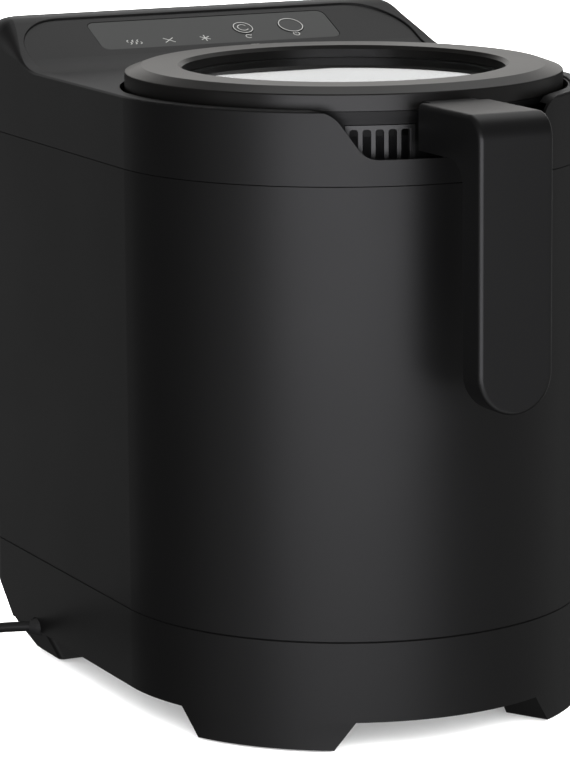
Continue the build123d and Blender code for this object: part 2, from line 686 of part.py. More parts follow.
def base_plate():
    """Floor of the machine with air slots, gearbox posts and stand-offs for the power board."""
    plate = prism(WALL + PLATE_GAP, PLATE_Z, PLATE_TOP)
    plate &= Pos(0, PLATE_BACK - FULL / 2, 0) * Box(FULL, FULL, FULL)
    for x, y in EARS:
        for side in (-1, 1):
            plate += rod(side * x, y, PLATE_TOP - 1, CASE_Z, EAR_R - 1.5)
            plate -= rod(side * x, y, CASE_Z + EAR_T - EAR_SCREW - 3, CASE_Z + 1, SCREW_HOLE_R)
    for x, y in board_corners():
        plate += rod(x, y, PLATE_TOP - 1, POWER_BOARD_Z, STAND_OFF_R)
        plate -= rod(x, y, POWER_BOARD_Z - 0.8 * STAND_OFF, POWER_BOARD_Z + 1, SCREW_HOLE_R)
    for x, y in CASE_POSTS:
        for side in (-1, 1):
            plate -= rod(side * x, y, PLATE_Z - 1, PLATE_TOP + 1, SCREW_HOLE_R + 0.2)
    for row in range(AIR_SLOTS):
        plate -= Pos(0, AIR_SLOT_PITCH * row - AIR_SLOT_FIRST, PLATE_Z) * Box(*AIR_SLOT, 4 * PLATE_T)
    return plate - outlet_bore()


def board_corners():
    """Screw places of the power board."""
    half_w = POWER_BOARD[0] / 2 - POWER_BOARD_IN
    half_d = POWER_BOARD[1] / 2 - POWER_BOARD_IN
    return [(sx * half_w, POWER_BOARD_Y + sy * half_d) for sx in (-1, 1) for sy in (-1, 1)]


# ---------------------------------------------------------------- control panel
def control_overlay():
    """Thin printed panel with round openings for its two keys."""
    sheet = panel_frame(OVERLAY_SINK) * extrude(RectangleRounded(OVERLAY_W, OVERLAY_D, OVERLAY_R), OVERLAY_T)
    for _, x, radius in keys():
        sheet -= panel_frame() * Pos(x, 0) * Cylinder(radius + KEY_GAP, 10)
    return sheet


def key(x, radius):
    """Round key cap on a stem that reaches its switch."""
    seat = OVERLAY_SINK - KEY_TRAVEL - 0.1
    cap_t = seat + KEY_PROUD - (OVERLAY_SINK - OVERLAY_T)
    cap = Pos(x, 0, OVERLAY_T - OVERLAY_SINK + KEY_PROUD - cap_t) * Cylinder(radius, cap_t, align=LOW)
    reach = BOARD_DROP - SWITCH_SIZE / 2 - 0.5
    stem = Pos(x, 0, -reach) * Cylinder(KEY_STEM_R, reach - 0.3, align=LOW)
    cap = chamfer(cap.edges().sort_by(Axis.Z)[-1], KEY_CHAMFER)
    return panel_frame() * (cap + stem)


def board_screw_places():
    """Where the control board's two screws stand, in the panel's frame."""
    return [panel_frame(BOARD_DROP) * Pos(x * (BOARD_W / 2 - BOARD_SCREW_IN), 0) for x in (-1, 1)]


def control_board():
    """Circuit board hung under the deck."""
    board = panel_frame(BOARD_DROP + BOARD_T) * (Box(BOARD_W, BOARD_D, BOARD_T, align=LOW))
    for place in board_screw_places():
        board -= place * Cylinder(SCREW_HOLE_R, BOARD_DROP)
    return board


def board_spacers():
    """Spacers between the deck's underside and the control board."""
    gap = BOARD_DROP - (DECK_T - DECK_SINK) - 0.1
    ring = Cylinder(SPACER_R, gap, align=LOW) - Cylinder(SCREW_HOLE_R, 4 * gap)
    return [place * ring for place in board_screw_places()]


def tact_switches():
    """One switch under each key."""
    height = SWITCH_SIZE / 2
    return [
        panel_frame(BOARD_DROP) * Pos(x, 0) * Box(SWITCH_SIZE, SWITCH_SIZE, height, align=LOW)
        for _, x, radius in keys()]


def stage_leds():
    """Indicator lamps behind the panel."""
    lamp = Box(LED_SIZE, LED_SIZE, 0.8 * LED_SIZE, align=LOW)
    return [panel_frame(BOARD_DROP) * Pos(x, 0) * lamp for x in LED_XS]


# ---------------------------------------------------------------- well and heater
def well_deck():
    """Inner deck between the main and the top housing."""
    deck = prism(WALL + PLATE_GAP, UPPER_PARTING - WELL_DECK_T, UPPER_PARTING)
    deck -= rod(0, 0, LEDGE_Z, UPPER_PARTING + 1, WELL_R + SHEET_T + PRESS_FIT)
    for x, y in TOP_POSTS:
        for side in (-1, 1):
            deck -= rod(side * x, y, LEDGE_Z, UPPER_PARTING + 1, SCREW_HOLE_R + 0.2)
    return deck


def well_cup():
    """Heated cup that the bucket stands in, pressed into the inner deck."""
    cup_out = CUP_R + SHEET_T
    cup = turned(
        (WELL_R, UPPER_PARTING), (WELL_R, LEDGE_Z), (CUP_R, LEDGE_Z), (CUP_R, CUP_FLOOR),
        (COUPLER_HOLE_R, CUP_FLOOR), (COUPLER_HOLE_R, CUP_FLOOR - SHEET_T), (cup_out, CUP_FLOOR - SHEET_T),
        (cup_out, LEDGE_Z - SHEET_T), (WELL_R + SHEET_T, LEDGE_Z - SHEET_T),
        (WELL_R + SHEET_T, UPPER_PARTING))
    return cup - Pos(0, CUP_R, PORT_Z) * Rot(90, 0, 0) * Cylinder(PORT_R, 20 * SHEET_T)


def heater_band():
    """Clamped heating band around the cup, with its tightening lugs."""
    inner = CUP_R + SHEET_T + HEATER_GAP
    band = rod(0, 0, *HEATER_Z, inner + HEATER_T) - rod(0, 0, HEATER_Z[0] - 1, HEATER_Z[1] + 1, inner)
    lug = Pos(inner + LUG[0] / 2, 0, HEATER_Z[0]) * Box(*LUG, HEATER_Z[1] - HEATER_Z[0], align=LOW)
    band += lug - rod(0, 0, HEATER_Z[0] - 1, HEATER_Z[1] + 1, inner)
    return band - Pos(inner + LUG[0], 0, HEATER_Z[0]) * Box(3 * LUG[0], LUG_SLIT, 4 * HEATER_Z[1])


# ---------------------------------------------------------------- bucket
def bucket_pot():
    """Cast pot with a foot ring, a centre boss and a top flange."""
    out = POT_R + POT_WALL
    pot = turned(
        (BUSH_R, POT_FLOOR - POT_WALL), (BUSH_R, BOSS_TOP), (BOSS_R, BOSS_TOP), (BOSS_R, POT_FLOOR),
        (POT_R - POT_CORNER, POT_FLOOR), (POT_R - 0.3 * POT_CORNER, POT_FLOOR + 0.3 * POT_CORNER),
        (POT_R, POT_FLOOR + POT_CORNER), (POT_R, POT_RIM),
        (POT_FLANGE_R, POT_RIM), (POT_FLANGE_R, POT_RIM - POT_WALL), (out, POT_RIM - POT_WALL),
        (out, POT_FOOT), (out - POT_WALL, POT_FOOT), (out - POT_WALL, POT_FLOOR - POT_WALL))
    pin_hole = Rot(0, 90, 0) * Cylinder(BLADE_PIN_R + 0.2, 6 * POT_WALL)
    for side in (-1, 1):
        pot -= Pos(side * POT_R, 0, sum(FIXED_BLADE) / 2) * pin_hole
    return pot


def fixed_blades():
    """Two tapered bars on the pot wall that the stirring arms pass above and below."""
    low, high = FIXED_BLADE
    outline = Polygon(
        (-POT_R - 2, -BLADE_ROOT), (-FIXED_BLADE_R, -BLADE_TIP), (-FIXED_BLADE_R, BLADE_TIP),
        (-POT_R - 2, BLADE_ROOT), align=None)
    bar = Pos(0, 0, low) * extrude(outline, high - low)
    bar = bar & rod(0, 0, low - 1, high + 1, POT_R - 0.1)
    tail = Rot(0, 90, 0) * Cylinder(BLADE_PIN_R, POT_WALL + 2)
    bar += Pos(-POT_R - POT_WALL / 2 + 0.9, 0, (low + high) / 2) * tail
    return mirrored(bar)


def window(margin, r0, r1):
    """Left vent window in the collar, smaller by margin all round."""
    slack = math.degrees(margin / COLLAR_R)
    a0, a1 = GRILLE_ANGLES
    return sector(r0, r1, -(a1 - slack), -(a0 + slack), GRILLE_Z[0] + margin, GRILLE_Z[1] - margin)


def bucket_collar():
    """Ring that carries the pot's rim, the vents and the handle."""
    inner = COLLAR_R - COLLAR_T
    sleeve = POT_FLANGE_R + 0.3
    under = COLLAR_TOP - COLLAR_RIM_T
    collar = turned(
        (POT_R + 1, COLLAR_TOP), (COLLAR_RIM_R, COLLAR_TOP), (COLLAR_RIM_R, under), (COLLAR_R, under),
        (COLLAR_R, COLLAR_BOTTOM), (inner, COLLAR_BOTTOM), (inner, under - COLLAR_T),
        (sleeve + COLLAR_T, under - COLLAR_T), (sleeve + COLLAR_T, under - SLEEVE_H),
        (sleeve, under - SLEEVE_H), (sleeve, under), (POT_R + 1, under))
    for opening in mirrored(window(0, inner - 2, COLLAR_R + 2)):
        collar -= opening
    for x, z in handle_screw_places():
        collar -= Pos(x, -COLLAR_R, z) * Rot(90, 0, 0) * Cylinder(SCREW_HOLE_R + 0.2, 20)
    return collar


def vent_grille():
    """Left vent insert: slotted plate with a raised rounded frame."""
    inner = COLLAR_R - COLLAR_T
    plate = window(GRILLE_FIT, inner + 0.2, COLLAR_R + 0.2)
    frame = window(GRILLE_FIT, COLLAR_R - 1, COLLAR_R + GRILLE_PROUD)
    frame -= window(GRILLE_FIT + GRILLE_FRAME, COLLAR_R - 2, COLLAR_R + GRILLE_PROUD + 1)
    grille = plate + frame
    shape = RectangleRounded(SLOT_W, SLOT_Z[1] - SLOT_Z[0], SLOT_R)
    cutter = Pos(0, -COLLAR_R + 8, sum(SLOT_Z) / 2) * extrude(Plane.XZ * shape, 16)
    for n in range(SLOTS):
        grille -= Rot(0, 0, -(SLOT_FIRST + n * SLOT_PITCH)) * cutter
    return grille


# ---------------------------------------------------------------- handle
def handle_screw_places():
    """(x, z) of the two screws through the collar into the handle's root."""
    return [(side * HANDLE_SCREW_X, ARM_BOTTOM + SCREW_HEAD_R + 3.4) for side in (-1, 1)]


def angle_bar(outer_inset, inner_inset, half):
    """The handle's bent bar: arm and grip between an outer and an inner side, with a round foot."""
    face = -HANDLE_FACE + outer_inset
    back = -GRIP_BACK + inner_inset * -1.0
    top = HANDLE_TOP - outer_inset
    low = ARM_BOTTOM + inner_inset
    foot = HANDLE_BOTTOM + HANDLE_HALF - half
    root = -COLLAR_R + 10
    outline = Polygon(
        (root, top), (face, top), (face, foot), (back, foot), (back, low), (root, low), align=None)
    outer = [v for v in outline.vertices() if abs(v.X - face) < 0.01 and abs(v.Y - top) < 0.01]
    outline = fillet(outer, HANDLE_OUTER_R - outer_inset)
    inner = [v for v in outline.vertices() if abs(v.X - back) < 0.01 and abs(v.Y - low) < 0.01]
    outline = fillet(inner, HANDLE_INNER_R + inner_inset)
    front = Pos(0, (HANDLE_TOP + foot + half) / 2) * Rectangle(2 * half, HANDLE_TOP - foot - half)
    front += Pos(0, foot + half) * Circle(half)
    return side_bar(outline, half) & extrude(Plane.XZ * front, HANDLE_FACE + 10)


def root_trim():
    """Space of the collar and the lid that the handle's root stays out of."""
    lid_space = rod(0, 0, COLLAR_TOP, HANDLE_TOP + 20, LID_R + 0.9)
    rim_space = rod(0, 0, COLLAR_TOP - COLLAR_RIM_T - 0.1, HANDLE_TOP + 20, COLLAR_RIM_R + 0.1)
    return rod(0, 0, HANDLE_BOTTOM, HANDLE_TOP + 20, COLLAR_R + 0.1) + lid_space + rim_space


def arm_plan():
    """Plan of the arm: full width, rounded at its back end, with a narrower neck to the collar."""
    length = HANDLE_FACE + ROOT_Y + 10
    arm = Pos(0, ROOT_Y - length / 2) * RectangleRounded(2 * HANDLE_HALF, length, ROOT_R)
    neck = Pos(0, (ROOT_Y - COLLAR_R) / 2 + 5) * Rectangle(2 * NECK_HALF, COLLAR_R + ROOT_Y + 40)
    return arm + neck


def handle_shell():
    """Outer shell of the carrying handle, open on the side that faces the casing."""
    bar = angle_bar(0, 0, HANDLE_HALF)
    rounded = [
        e for e in bar.edges()
        if e.center().Y < -GRIP_BACK - 1 and abs(e.center().X) > 1
        and e.bounding_box().min.Y < -HANDLE_FACE + 1]
    rounded += [
        e for e in bar.edges()
        if e.bounding_box().min.Y < -HANDLE_FACE + 0.01 and e.bounding_box().max.Y < -HANDLE_FACE + 0.01]
    arm_top = [
        e for e in bar.edges() if e.bounding_box().min.Z > HANDLE_TOP - 0.01 and abs(e.center().X) > 1]
    unique = []
    for e in rounded + arm_top:
        if not any(e.is_same(u) for u in unique):
            unique.append(e)
    unique = [e for e in unique if not (e.geom_type == GeomType.LINE and abs(e.center().X) < 1)]
    bar = bar.fillet(HANDLE_EDGE_R, unique)
    pocket = angle_bar(HANDLE_WALL, -5, HANDLE_HALF - HANDLE_WALL)
    root = Pos(0, -COLLAR_R - ROOT_WALL - NECK_TRIM + FULL / 2, HANDLE_TOP) * Box(FULL, FULL, FULL)
    shell = bar - (pocket - root) - root_trim()
    beside = Pos(0, ROOT_Y + FULL / 2) * Rectangle(FULL, FULL) - arm_plan()
    shell -= Pos(0, 0, HANDLE_BOTTOM) * extrude(beside, HANDLE_TOP)
    for x, z in handle_screw_places():
        shell -= Pos(x, -COLLAR_R, z) * Rot(90, 0, 0) * Cylinder(SCREW_HOLE_R, 4 * ROOT_WALL)
    return shell


def handle_cover():
    """Strip that closes the handle's inner side."""
    strip = angle_bar(0, 0, HANDLE_HALF - HANDLE_WALL - COVER_GAP)
    strip -= angle_bar(-5, COVER_T, HANDLE_HALF)
    root = Pos(0, -COLLAR_R - ROOT_WALL - NECK_TRIM - COVER_GAP + FULL / 2, HANDLE_TOP)
    return strip - root * Box(FULL, FULL, FULL)


def handle_screws():
    """Screws from inside the collar into the handle."""
    side = max(x for x, z in handle_screw_places()) + SCREW_HEAD_R
    y = SCREW_HEAD_T + 0.05 - math.sqrt((COLLAR_R - COLLAR_T) ** 2 - side ** 2)
    return [Pos(x, y, z) * Rot(90, 0, 0) * screw(HANDLE_SCREW) for x, z in handle_screw_places()]


# ---------------------------------------------------------------- lid
def lid_screw_places():
    """Four screw places around the lid."""
    return [
        (LID_BOSS_AT * math.cos(math.radians(a)), LID_BOSS_AT * math.sin(math.radians(a)))
        for a in (45, 135, 225, 315)]


def lid_ring():
    """Bevelled outer ring of the lid."""
    under = LID_TOP - LID_T
    skirt = LID_R - LID_T
    ring = turned(
        (LID_R, COLLAR_TOP + SEAT_GAP), (LID_R, LID_BEVEL_Z), (LID_FLAT_R, LID_TOP),
        (LID_HOLE_R + LID_CHAMFER, LID_TOP), (LID_HOLE_R, LID_TOP - LID_CHAMFER),
        (LID_HOLE_R, GLASS_TOP + 0.1), (LID_HOLE_R + LID_T, GLASS_TOP + 0.1),
        (LID_HOLE_R + LID_T, under), (LID_FLAT_R - 1, under),
        (skirt, LID_BEVEL_Z - LID_T), (skirt, COLLAR_TOP + SEAT_GAP))
    soft = [
        e for e in ring.edges()
        if e.geom_type == GeomType.CIRCLE and any(
            abs(e.radius - r) < 0.01 and abs(e.center().Z - z) < 0.01
            for r, z in ((LID_R, LID_BEVEL_Z), (LID_FLAT_R, LID_TOP)))]
    ring = ring.fillet(LID_EDGE_R, soft)
    for x, y in lid_screw_places():
        ring += rod(x, y, retainer_z() + RETAINER_T + 0.05, under + 0.5, LID_BOSS_R)
        ring -= rod(x, y, retainer_z(), under - 0.5, SCREW_HOLE_R)
    return ring


def lid_mark():
    """Small raised alignment mark at the back of the lid."""
    middle = (LID_FLAT_R + LID_R) / 2
    z = (LID_TOP + LID_BEVEL_Z) / 2
    lean = math.degrees(math.atan2(LID_TOP - LID_BEVEL_Z, LID_R - LID_FLAT_R))
    return Pos(0, middle - 2.5, z + 1.12) * Rot(-lean, 0, 0) * Box(MARK_W, MARK_D, MARK_T)


def retainer_z():
    """Underside of the lid's retaining ring."""
    return GLASS_TOP - GLASS_T - RETAINER_T - 0.1


def lid_glass():
    """Round window held up against the ring."""
    return rod(0, 0, GLASS_TOP - GLASS_T, GLASS_TOP, GLASS_R)


def lid_retainer():
    """Ring under the glass, with the spigot that centres the lid in the pot."""
    z = retainer_z()
    outer = LID_R - LID_T - 0.6
    spigot_in = SPIGOT_R - SPIGOT_T
    ring = turned(
        (spigot_in, SPIGOT_BOTTOM), (spigot_in, z + RETAINER_T), (outer, z + RETAINER_T), (outer, z),
        (SPIGOT_R, z), (SPIGOT_R, SPIGOT_BOTTOM))
    for x, y in lid_screw_places():
        ring -= rod(x, y, z - 1, z + RETAINER_T + 1, SCREW_HOLE_R + 0.2)
    return ring


def lid_screws():
    """Screws through the retaining ring, in counterbored places."""
    z = retainer_z() - 0.0
    short = []
    for x, y in lid_screw_places():
        head = rod(x, y, z - 0.25, z, 3.0)
        short.append(head + rod(x, y, z - 0.1, z + RETAINER_T + 4, SCREW_R))
    return short


def lid_gasket():
    """Soft sealing ring on the spigot."""
    inner = SPIGOT_R + 0.05
    return turned(
        (inner, SPIGOT_BOTTOM + 1.5), (inner, SPIGOT_BOTTOM + 6), (GASKET_R - 1.2, SPIGOT_BOTTOM + 6),
        (GASKET_R, SPIGOT_BOTTOM + 4), (GASKET_R - 1.2, SPIGOT_BOTTOM + 1.5))


# ---------------------------------------------------------------- rotor and dog clutch
def star(radius_grow):
    """Four-lobed driver outline."""
    core = Circle(STAR_CORE_R + radius_grow)
    reach = 2 * (STAR_R + radius_grow)
    width = STAR_W + 2 * radius_grow
    return core + Rectangle(reach, width) + Rectangle(width, reach)


def rotor_shaft():
    """Shaft through the pot's floor."""
    return rod(0, 0, SOCKET_ROOF + 0.2, HUB_TOP - 10, SHAFT_R)


def rotor_bush():
    """Bronze bush in the pot's boss."""
    low = POT_FLOOR - POT_WALL - 0.2
    bush = rod(0, 0, low, BOSS_TOP + 1, BUSH_R - PRESS_FIT)
    return bush - rod(0, 0, low - 1, BOSS_TOP + 2, SHAFT_R + RUN_FIT)


def shaft_seal():
    """Lip seal between the bush and the rotor's hub."""
    low = BOSS_TOP + 1.1
    return turned(
        (SHAFT_R + 0.1, low), (SHAFT_R + 0.1, low + 3), (SHAFT_R + 1.2, low + 3), (BUSH_R - 1, low + 1.2),
        (BUSH_R, low + 1.2), (BUSH_R, low))


def stirring_arm(reach, low, high, width):
    """One swept-back arm with a bevelled leading edge."""
    root = HUB_R - 3
    outline = Polyline((root, -width / 2), (reach * 0.6, -width * 0.42), (reach, width * 0.35))
    outline += ThreePointArc((reach, width * 0.35), (reach * 0.97, width * 0.6), (reach * 0.9, width * 0.7))
    outline += Polyline(
        (reach * 0.9, width * 0.7), (reach * 0.55, width * 0.45), (root, width / 2), (root, -width / 2))
    arm = Pos(0, 0, low) * extrude(make_face(outline), high - low)
    leading = [
        e for e in arm.edges()
        if e.center().Z > high - 0.1 and e.center().Y < 0 and e.geom_type == GeomType.LINE and e.length > 10]
    arm = chamfer(leading, (high - low) * 0.6, width * 0.3)
    return arm & rod(0, 0, low - 1, high + 1, reach)


def rotor():
    """Cast hub with a low and a high pair of stirring arms."""
    hub = turned(
        (0, HUB_TOP), (HUB_R - 9, HUB_TOP), (HUB_R - 2, HUB_TOP - 7), (HUB_R, HUB_TOP - 20),
        (HUB_R, POT_FLOOR + 2), (HUB_SKIRT_R, POT_FLOOR + 2), (HUB_SKIRT_R, BOSS_TOP + 5), (0, BOSS_TOP + 5))
    for angle in (0, 180):
        hub += Rot(0, 0, angle) * stirring_arm(LOW_ARM_R, *LOW_ARM, LOW_ARM_W)
        hub += Rot(0, 0, angle + 90) * stirring_arm(HIGH_ARM_R, *HIGH_ARM, HIGH_ARM_W)
    hub -= rod(0, 0, POT_FLOOR, BOSS_TOP + 5, HUB_SKIRT_R)
    return hub - rod(0, 0, BOSS_TOP, HUB_TOP - 9.8, SHAFT_R + PRESS_FIT)


def driven_coupler():
    """Socket under the bucket that drops over the driver."""
    body = rod(0, 0, SOCKET_BOTTOM, SOCKET_TOP, SOCKET_R)
    body -= Pos(0, 0, SOCKET_BOTTOM - 1) * extrude(star(STAR_FIT), SOCKET_ROOF - SOCKET_BOTTOM + 1)
    return body - rod(0, 0, SOCKET_ROOF, SOCKET_TOP + 1, SHAFT_R + PRESS_FIT)


def drive_coupler():
    """Four-lobed driver on the output shaft."""
    driver = Pos(0, 0, STAR_BOTTOM + STAR_FOOT) * extrude(star(0), STAR_TOP - STAR_BOTTOM - STAR_FOOT)
    driver = chamfer(driver.faces().sort_by(Axis.Z)[-1].edges(), 0.8)
    driver += rod(0, 0, STAR_BOTTOM, STAR_BOTTOM + STAR_FOOT + 0.5, STAR_R + 3)
    return driver - rod(0, 0, STAR_BOTTOM - 1, STAR_TOP - 3, OUT_SHAFT_R + PRESS_FIT)


# ---------------------------------------------------------------- gear train
def half_tooth(teeth, module, radius):
    """Half the angle of a 20 degree involute tooth at a radius, less its share of backlash."""
    pitch = teeth * module / 2
    base = pitch * math.cos(math.radians(20))
    at_pitch = math.tan(math.radians(20)) - math.radians(20)
    alpha = math.acos(base / max(radius, base))
    return math.pi / (2 * teeth) + at_pitch - (math.tan(alpha) - alpha) - BACKLASH / 2 / pitch


def gear(teeth, module, z0, z1):
    """Spur gear with straight-flanked teeth, one of them centred on +Y."""
    pitch = teeth * module / 2
    root = pitch - 1.15 * module
    tip = pitch + 0.85 * module
    points = []
    for n in range(teeth):
        middle = math.pi / 2 + 2 * math.pi * n / teeth
        for radius, side in ((root, -1), (tip, -1), (tip, 1), (root, 1)):
            angle = middle + side * half_tooth(teeth, module, radius)
            points.append((radius * math.cos(angle), radius * math.sin(angle)))
    return Pos(0, 0, z0) * extrude(Polygon(*points, align=None), z1 - z0)


def output_gear():
    """Large gear on the output shaft, with its hub."""
    low = GEAR_Z[0] - GEAR_HUB_H
    high = GEAR_Z[1] + GEAR_HUB_H
    wheel = gear(OUT_TEETH, OUT_MODULE, *GEAR_Z) + rod(0, 0, low, high, GEAR_HUB_R)
    return wheel - rod(0, 0, low - 1, high + 1, OUT_SHAFT_R + PRESS_FIT)


def idler_gear():
    """Compound gear: driven by the motor, driving the output."""
    wheel = gear(IN_TEETH, IN_MODULE, *IN_GEAR_Z) + gear(OUT_PINION_TEETH, OUT_MODULE, *IDLER_Z)
    wheel -= rod(0, 0, 0, CASE_WALL_TOP, IDLER_PIN_R + RUN_FIT)
    return Pos(0, IDLER_Y, 0) * wheel


def motor_pinion():
    """Pinion on the motor's shaft."""
    wheel = gear(MOTOR_TEETH, IN_MODULE, *MOTOR_PINION_Z)
    return Pos(0, MOTOR_Y, 0) * (wheel - rod(0, 0, 0, CASE_WALL_TOP, MOTOR_SHAFT_R + PRESS_FIT))


def case_outline(inset):
    """Plan outline of the gearbox around its three shafts."""
    circles = (
        Pos(0, 0) * Circle(OUT_CASE_R - inset), Pos(0, IDLER_Y) * Circle(IN_CASE_R - inset),
        Pos(0, MOTOR_Y) * Circle(MOTOR_R + 2 - inset))
    return make_hull([edge for circle in circles for edge in circle.edges()])


def gear_case():
    """Lower half of the gearbox with bearing boss and mounting ears."""
    case = Pos(0, 0, CASE_Z) * extrude(case_outline(0), CASE_TOP - CASE_Z)
    for x, y in EARS:
        for side in (-1, 1):
            ear = rod(side * x, y, CASE_Z, CASE_Z + EAR_T, EAR_R)
            ear += Pos(side * x / 2, y, CASE_Z) * Box(x, 2 * EAR_R, EAR_T, align=LOW)
            case += ear
    case -= Pos(0, 0, CASE_Z + CASE_T) * extrude(case_outline(CASE_T), CASE_TOP)
    case += rod(0, 0, CASE_Z, CASE_Z + BEARING_H, BEARING_R + CASE_T)
    case -= rod(0, 0, CASE_Z + 1, CASE_Z + BEARING_H + 1, BEARING_R + PRESS_FIT)
    case += rod(0, IDLER_Y, CASE_Z, CASE_Z + BEARING_H, IDLER_PIN_R + CASE_T)
    case -= rod(0, IDLER_Y, CASE_Z + 1, CASE_TOP, IDLER_PIN_R + PRESS_FIT)
    case -= rod(0, MOTOR_Y, CASE_Z - 1, CASE_TOP, MOTOR_SHAFT_R + 3)
    for x, y in motor_screw_places():
        case -= rod(x, y, CASE_Z - 1, CASE_Z + CASE_T + 1, SCREW_HOLE_R + 0.2)
    for x, y in EARS:
        for side in (-1, 1):
            case -= rod(side * x, y, CASE_Z - 1, CASE_Z + EAR_T + 1, SCREW_HOLE_R + 0.2)
    for x, y in cover_screw_places():
        case += rod(x, y, CASE_Z, CASE_TOP, COVER_POST_R)
        case -= rod(x, y, CASE_TOP - COVER_SCREW, CASE_TOP + 1, SCREW_HOLE_R)
    return case


def cover_screw_places():
    """Screws that hold the gearbox cover."""
    front = (OUT_CASE_R - CASE_T + COVER_POST_R) / math.sqrt(2)
    back = MOTOR_R / math.sqrt(2)
    return [(s * x, y) for x, y in ((front, -front), (back, MOTOR_Y + back)) for s in (-1, 1)]


def motor_screw_places():
    """Screws through the gearbox floor into the motor."""
    return [(side * MOTOR_SCREW_X, MOTOR_Y) for side in (-1, 1)]


def gear_cover():
    """Lid of the gearbox with the upper bearing boss."""
    cover = Pos(0, 0, CASE_TOP) * extrude(case_outline(0), COVER_PLATE_T)
    for x, y in cover_screw_places():
        cover += rod(x, y, CASE_TOP, CASE_WALL_TOP, COVER_POST_R)
    cover += rod(0, 0, CASE_TOP, CASE_TOP + COVER_BOSS_H, BEARING_R + CASE_T)
    cover -= rod(0, 0, CASE_TOP - 1, CASE_TOP + COVER_BOSS_H - 1, BEARING_R + PRESS_FIT)
    cover -= rod(0, 0, CASE_TOP, CASE_TOP + COVER_BOSS_H + 2, OUT_SHAFT_R + 1)
    cover -= rod(0, IDLER_Y, CASE_TOP - 1, CASE_TOP + 2, IDLER_PIN_R + PRESS_FIT)
    for x, y in cover_screw_places():
        cover -= rod(x, y, CASE_TOP - 1, CASE_WALL_TOP + 1, SCREW_HOLE_R + 0.2)
    return cover


def output_shaft():
    """Shaft between the two bearings, up to the driver."""
    return rod(0, 0, CASE_Z + 1.5, STAR_TOP - 3.5, OUT_SHAFT_R)


def output_bearings():
    """Plain bearings of the output shaft."""
    rings = []
    spans = ((CASE_Z + 1.1, CASE_Z + BEARING_H), (CASE_TOP + 0.5, CASE_TOP + COVER_BOSS_H - 1.1))
    for low, high in spans:
        rings.append(rod(0, 0, low, high, BEARING_R) - rod(0, 0, low - 1, high + 1, OUT_SHAFT_R + RUN_FIT))
    return rings


def idler_pin():
    """Fixed axle of the compound gear."""
    return rod(0, IDLER_Y, CASE_Z + 1.1, CASE_TOP + 1.9, IDLER_PIN_R)


def motor_can():
    """Motor body hung under the gearbox."""
    can = rod(0, MOTOR_Y, MOTOR_BOTTOM, CASE_Z - 0.05, MOTOR_R)
    can = chamfer(can.faces().sort_by(Axis.Z)[0].edges(), 3)
    can += rod(0, MOTOR_Y, MOTOR_BOTTOM - MOTOR_CAP_H, MOTOR_BOTTOM + 1, MOTOR_CAP_R)
    can -= rod(0, MOTOR_Y, MOTOR_BOTTOM + MOTOR_L / 3, CASE_Z, MOTOR_SHAFT_R + RUN_FIT)
    for x, y in motor_screw_places():
        can -= rod(x, y, CASE_Z - 8, CASE_Z, SCREW_HOLE_R)
    return can


def motor_shaft():
    """Motor shaft, up to the end of the pinion."""
    return rod(0, MOTOR_Y, MOTOR_BOTTOM + MOTOR_L / 3 + 0.5, MOTOR_PINION_Z[1] + 0.5, MOTOR_SHAFT_R)


def gearbox_screws():
    """Cover, ear and motor screws, all driven from above."""
    flip = Rot(180, 0, 0)
    cover = CASE_WALL_TOP + SCREW_HEAD_T
    solids = [Pos(x, y, cover) * flip * screw(COVER_SCREW) for x, y in cover_screw_places()]
    for x, y in EARS:
        for side in (-1, 1):
            solids.append(Pos(side * x, y, CASE_Z + EAR_T + SCREW_HEAD_T) * flip * screw(EAR_SCREW))
    floor = CASE_Z + CASE_T + SCREW_HEAD_T
    solids += [Pos(x, y, floor) * flip * screw(MOTOR_SCREW) for x, y in motor_screw_places()]
    return solids


def case_screws():
    """Screws up through the base plate, and through the well's deck into the top housing."""
    solids = []
    for side in (-1, 1):
        for x, y in CASE_POSTS:
            solids.append(Pos(side * x, y, PLATE_Z - SCREW_HEAD_T) * screw(CASE_SCREW))
        for x, y in TOP_POSTS:
            solids.append(Pos(side * x, y, UPPER_PARTING - WELL_DECK_T - SCREW_HEAD_T) * screw(CASE_SCREW))
    return solids


# ---------------------------------------------------------------- exhaust
def along_y(y0, y1, radius, x=0.0, z=PORT_Z):
    """Cylinder lying along Y."""
    return Pos(x, y0, z) * Rot(-90, 0, 0) * Cylinder(radius, y1 - y0, align=LOW)


def fan_frame():
    """Square fan frame with a motor hub on three struts."""
    frame = Pos(0, FAN_FRONT + FAN_T / 2, PORT_Z) * Box(FAN_SIZE, FAN_T, FAN_SIZE)
    frame -= along_y(FAN_FRONT - 1, FAN_FRONT + FAN_T + 1, FAN_HOLE_R)
    back = FAN_FRONT + FAN_T
    for angle in (90, 210, 330):
        strut = Box(FAN_STRUT_W, FAN_STRUT_T, FAN_HOLE_R + 4)
        strut = Pos(0, back - FAN_STRUT_T / 2, FAN_HOLE_R / 2) * strut
        frame += Pos(0, 0, PORT_Z) * Rot(0, angle, 0) * strut
    frame += along_y(back - 1.5 * FAN_STRUT_T, back, FAN_HUB_R - 1)
    return frame - along_y(FAN_FRONT, back - 2, FAN_PIN_R + PRESS_FIT)


def fan_pin():
    """Axle of the fan wheel."""
    return along_y(FAN_FRONT + 4, FAN_FRONT + FAN_T - 2.2, FAN_PIN_R)


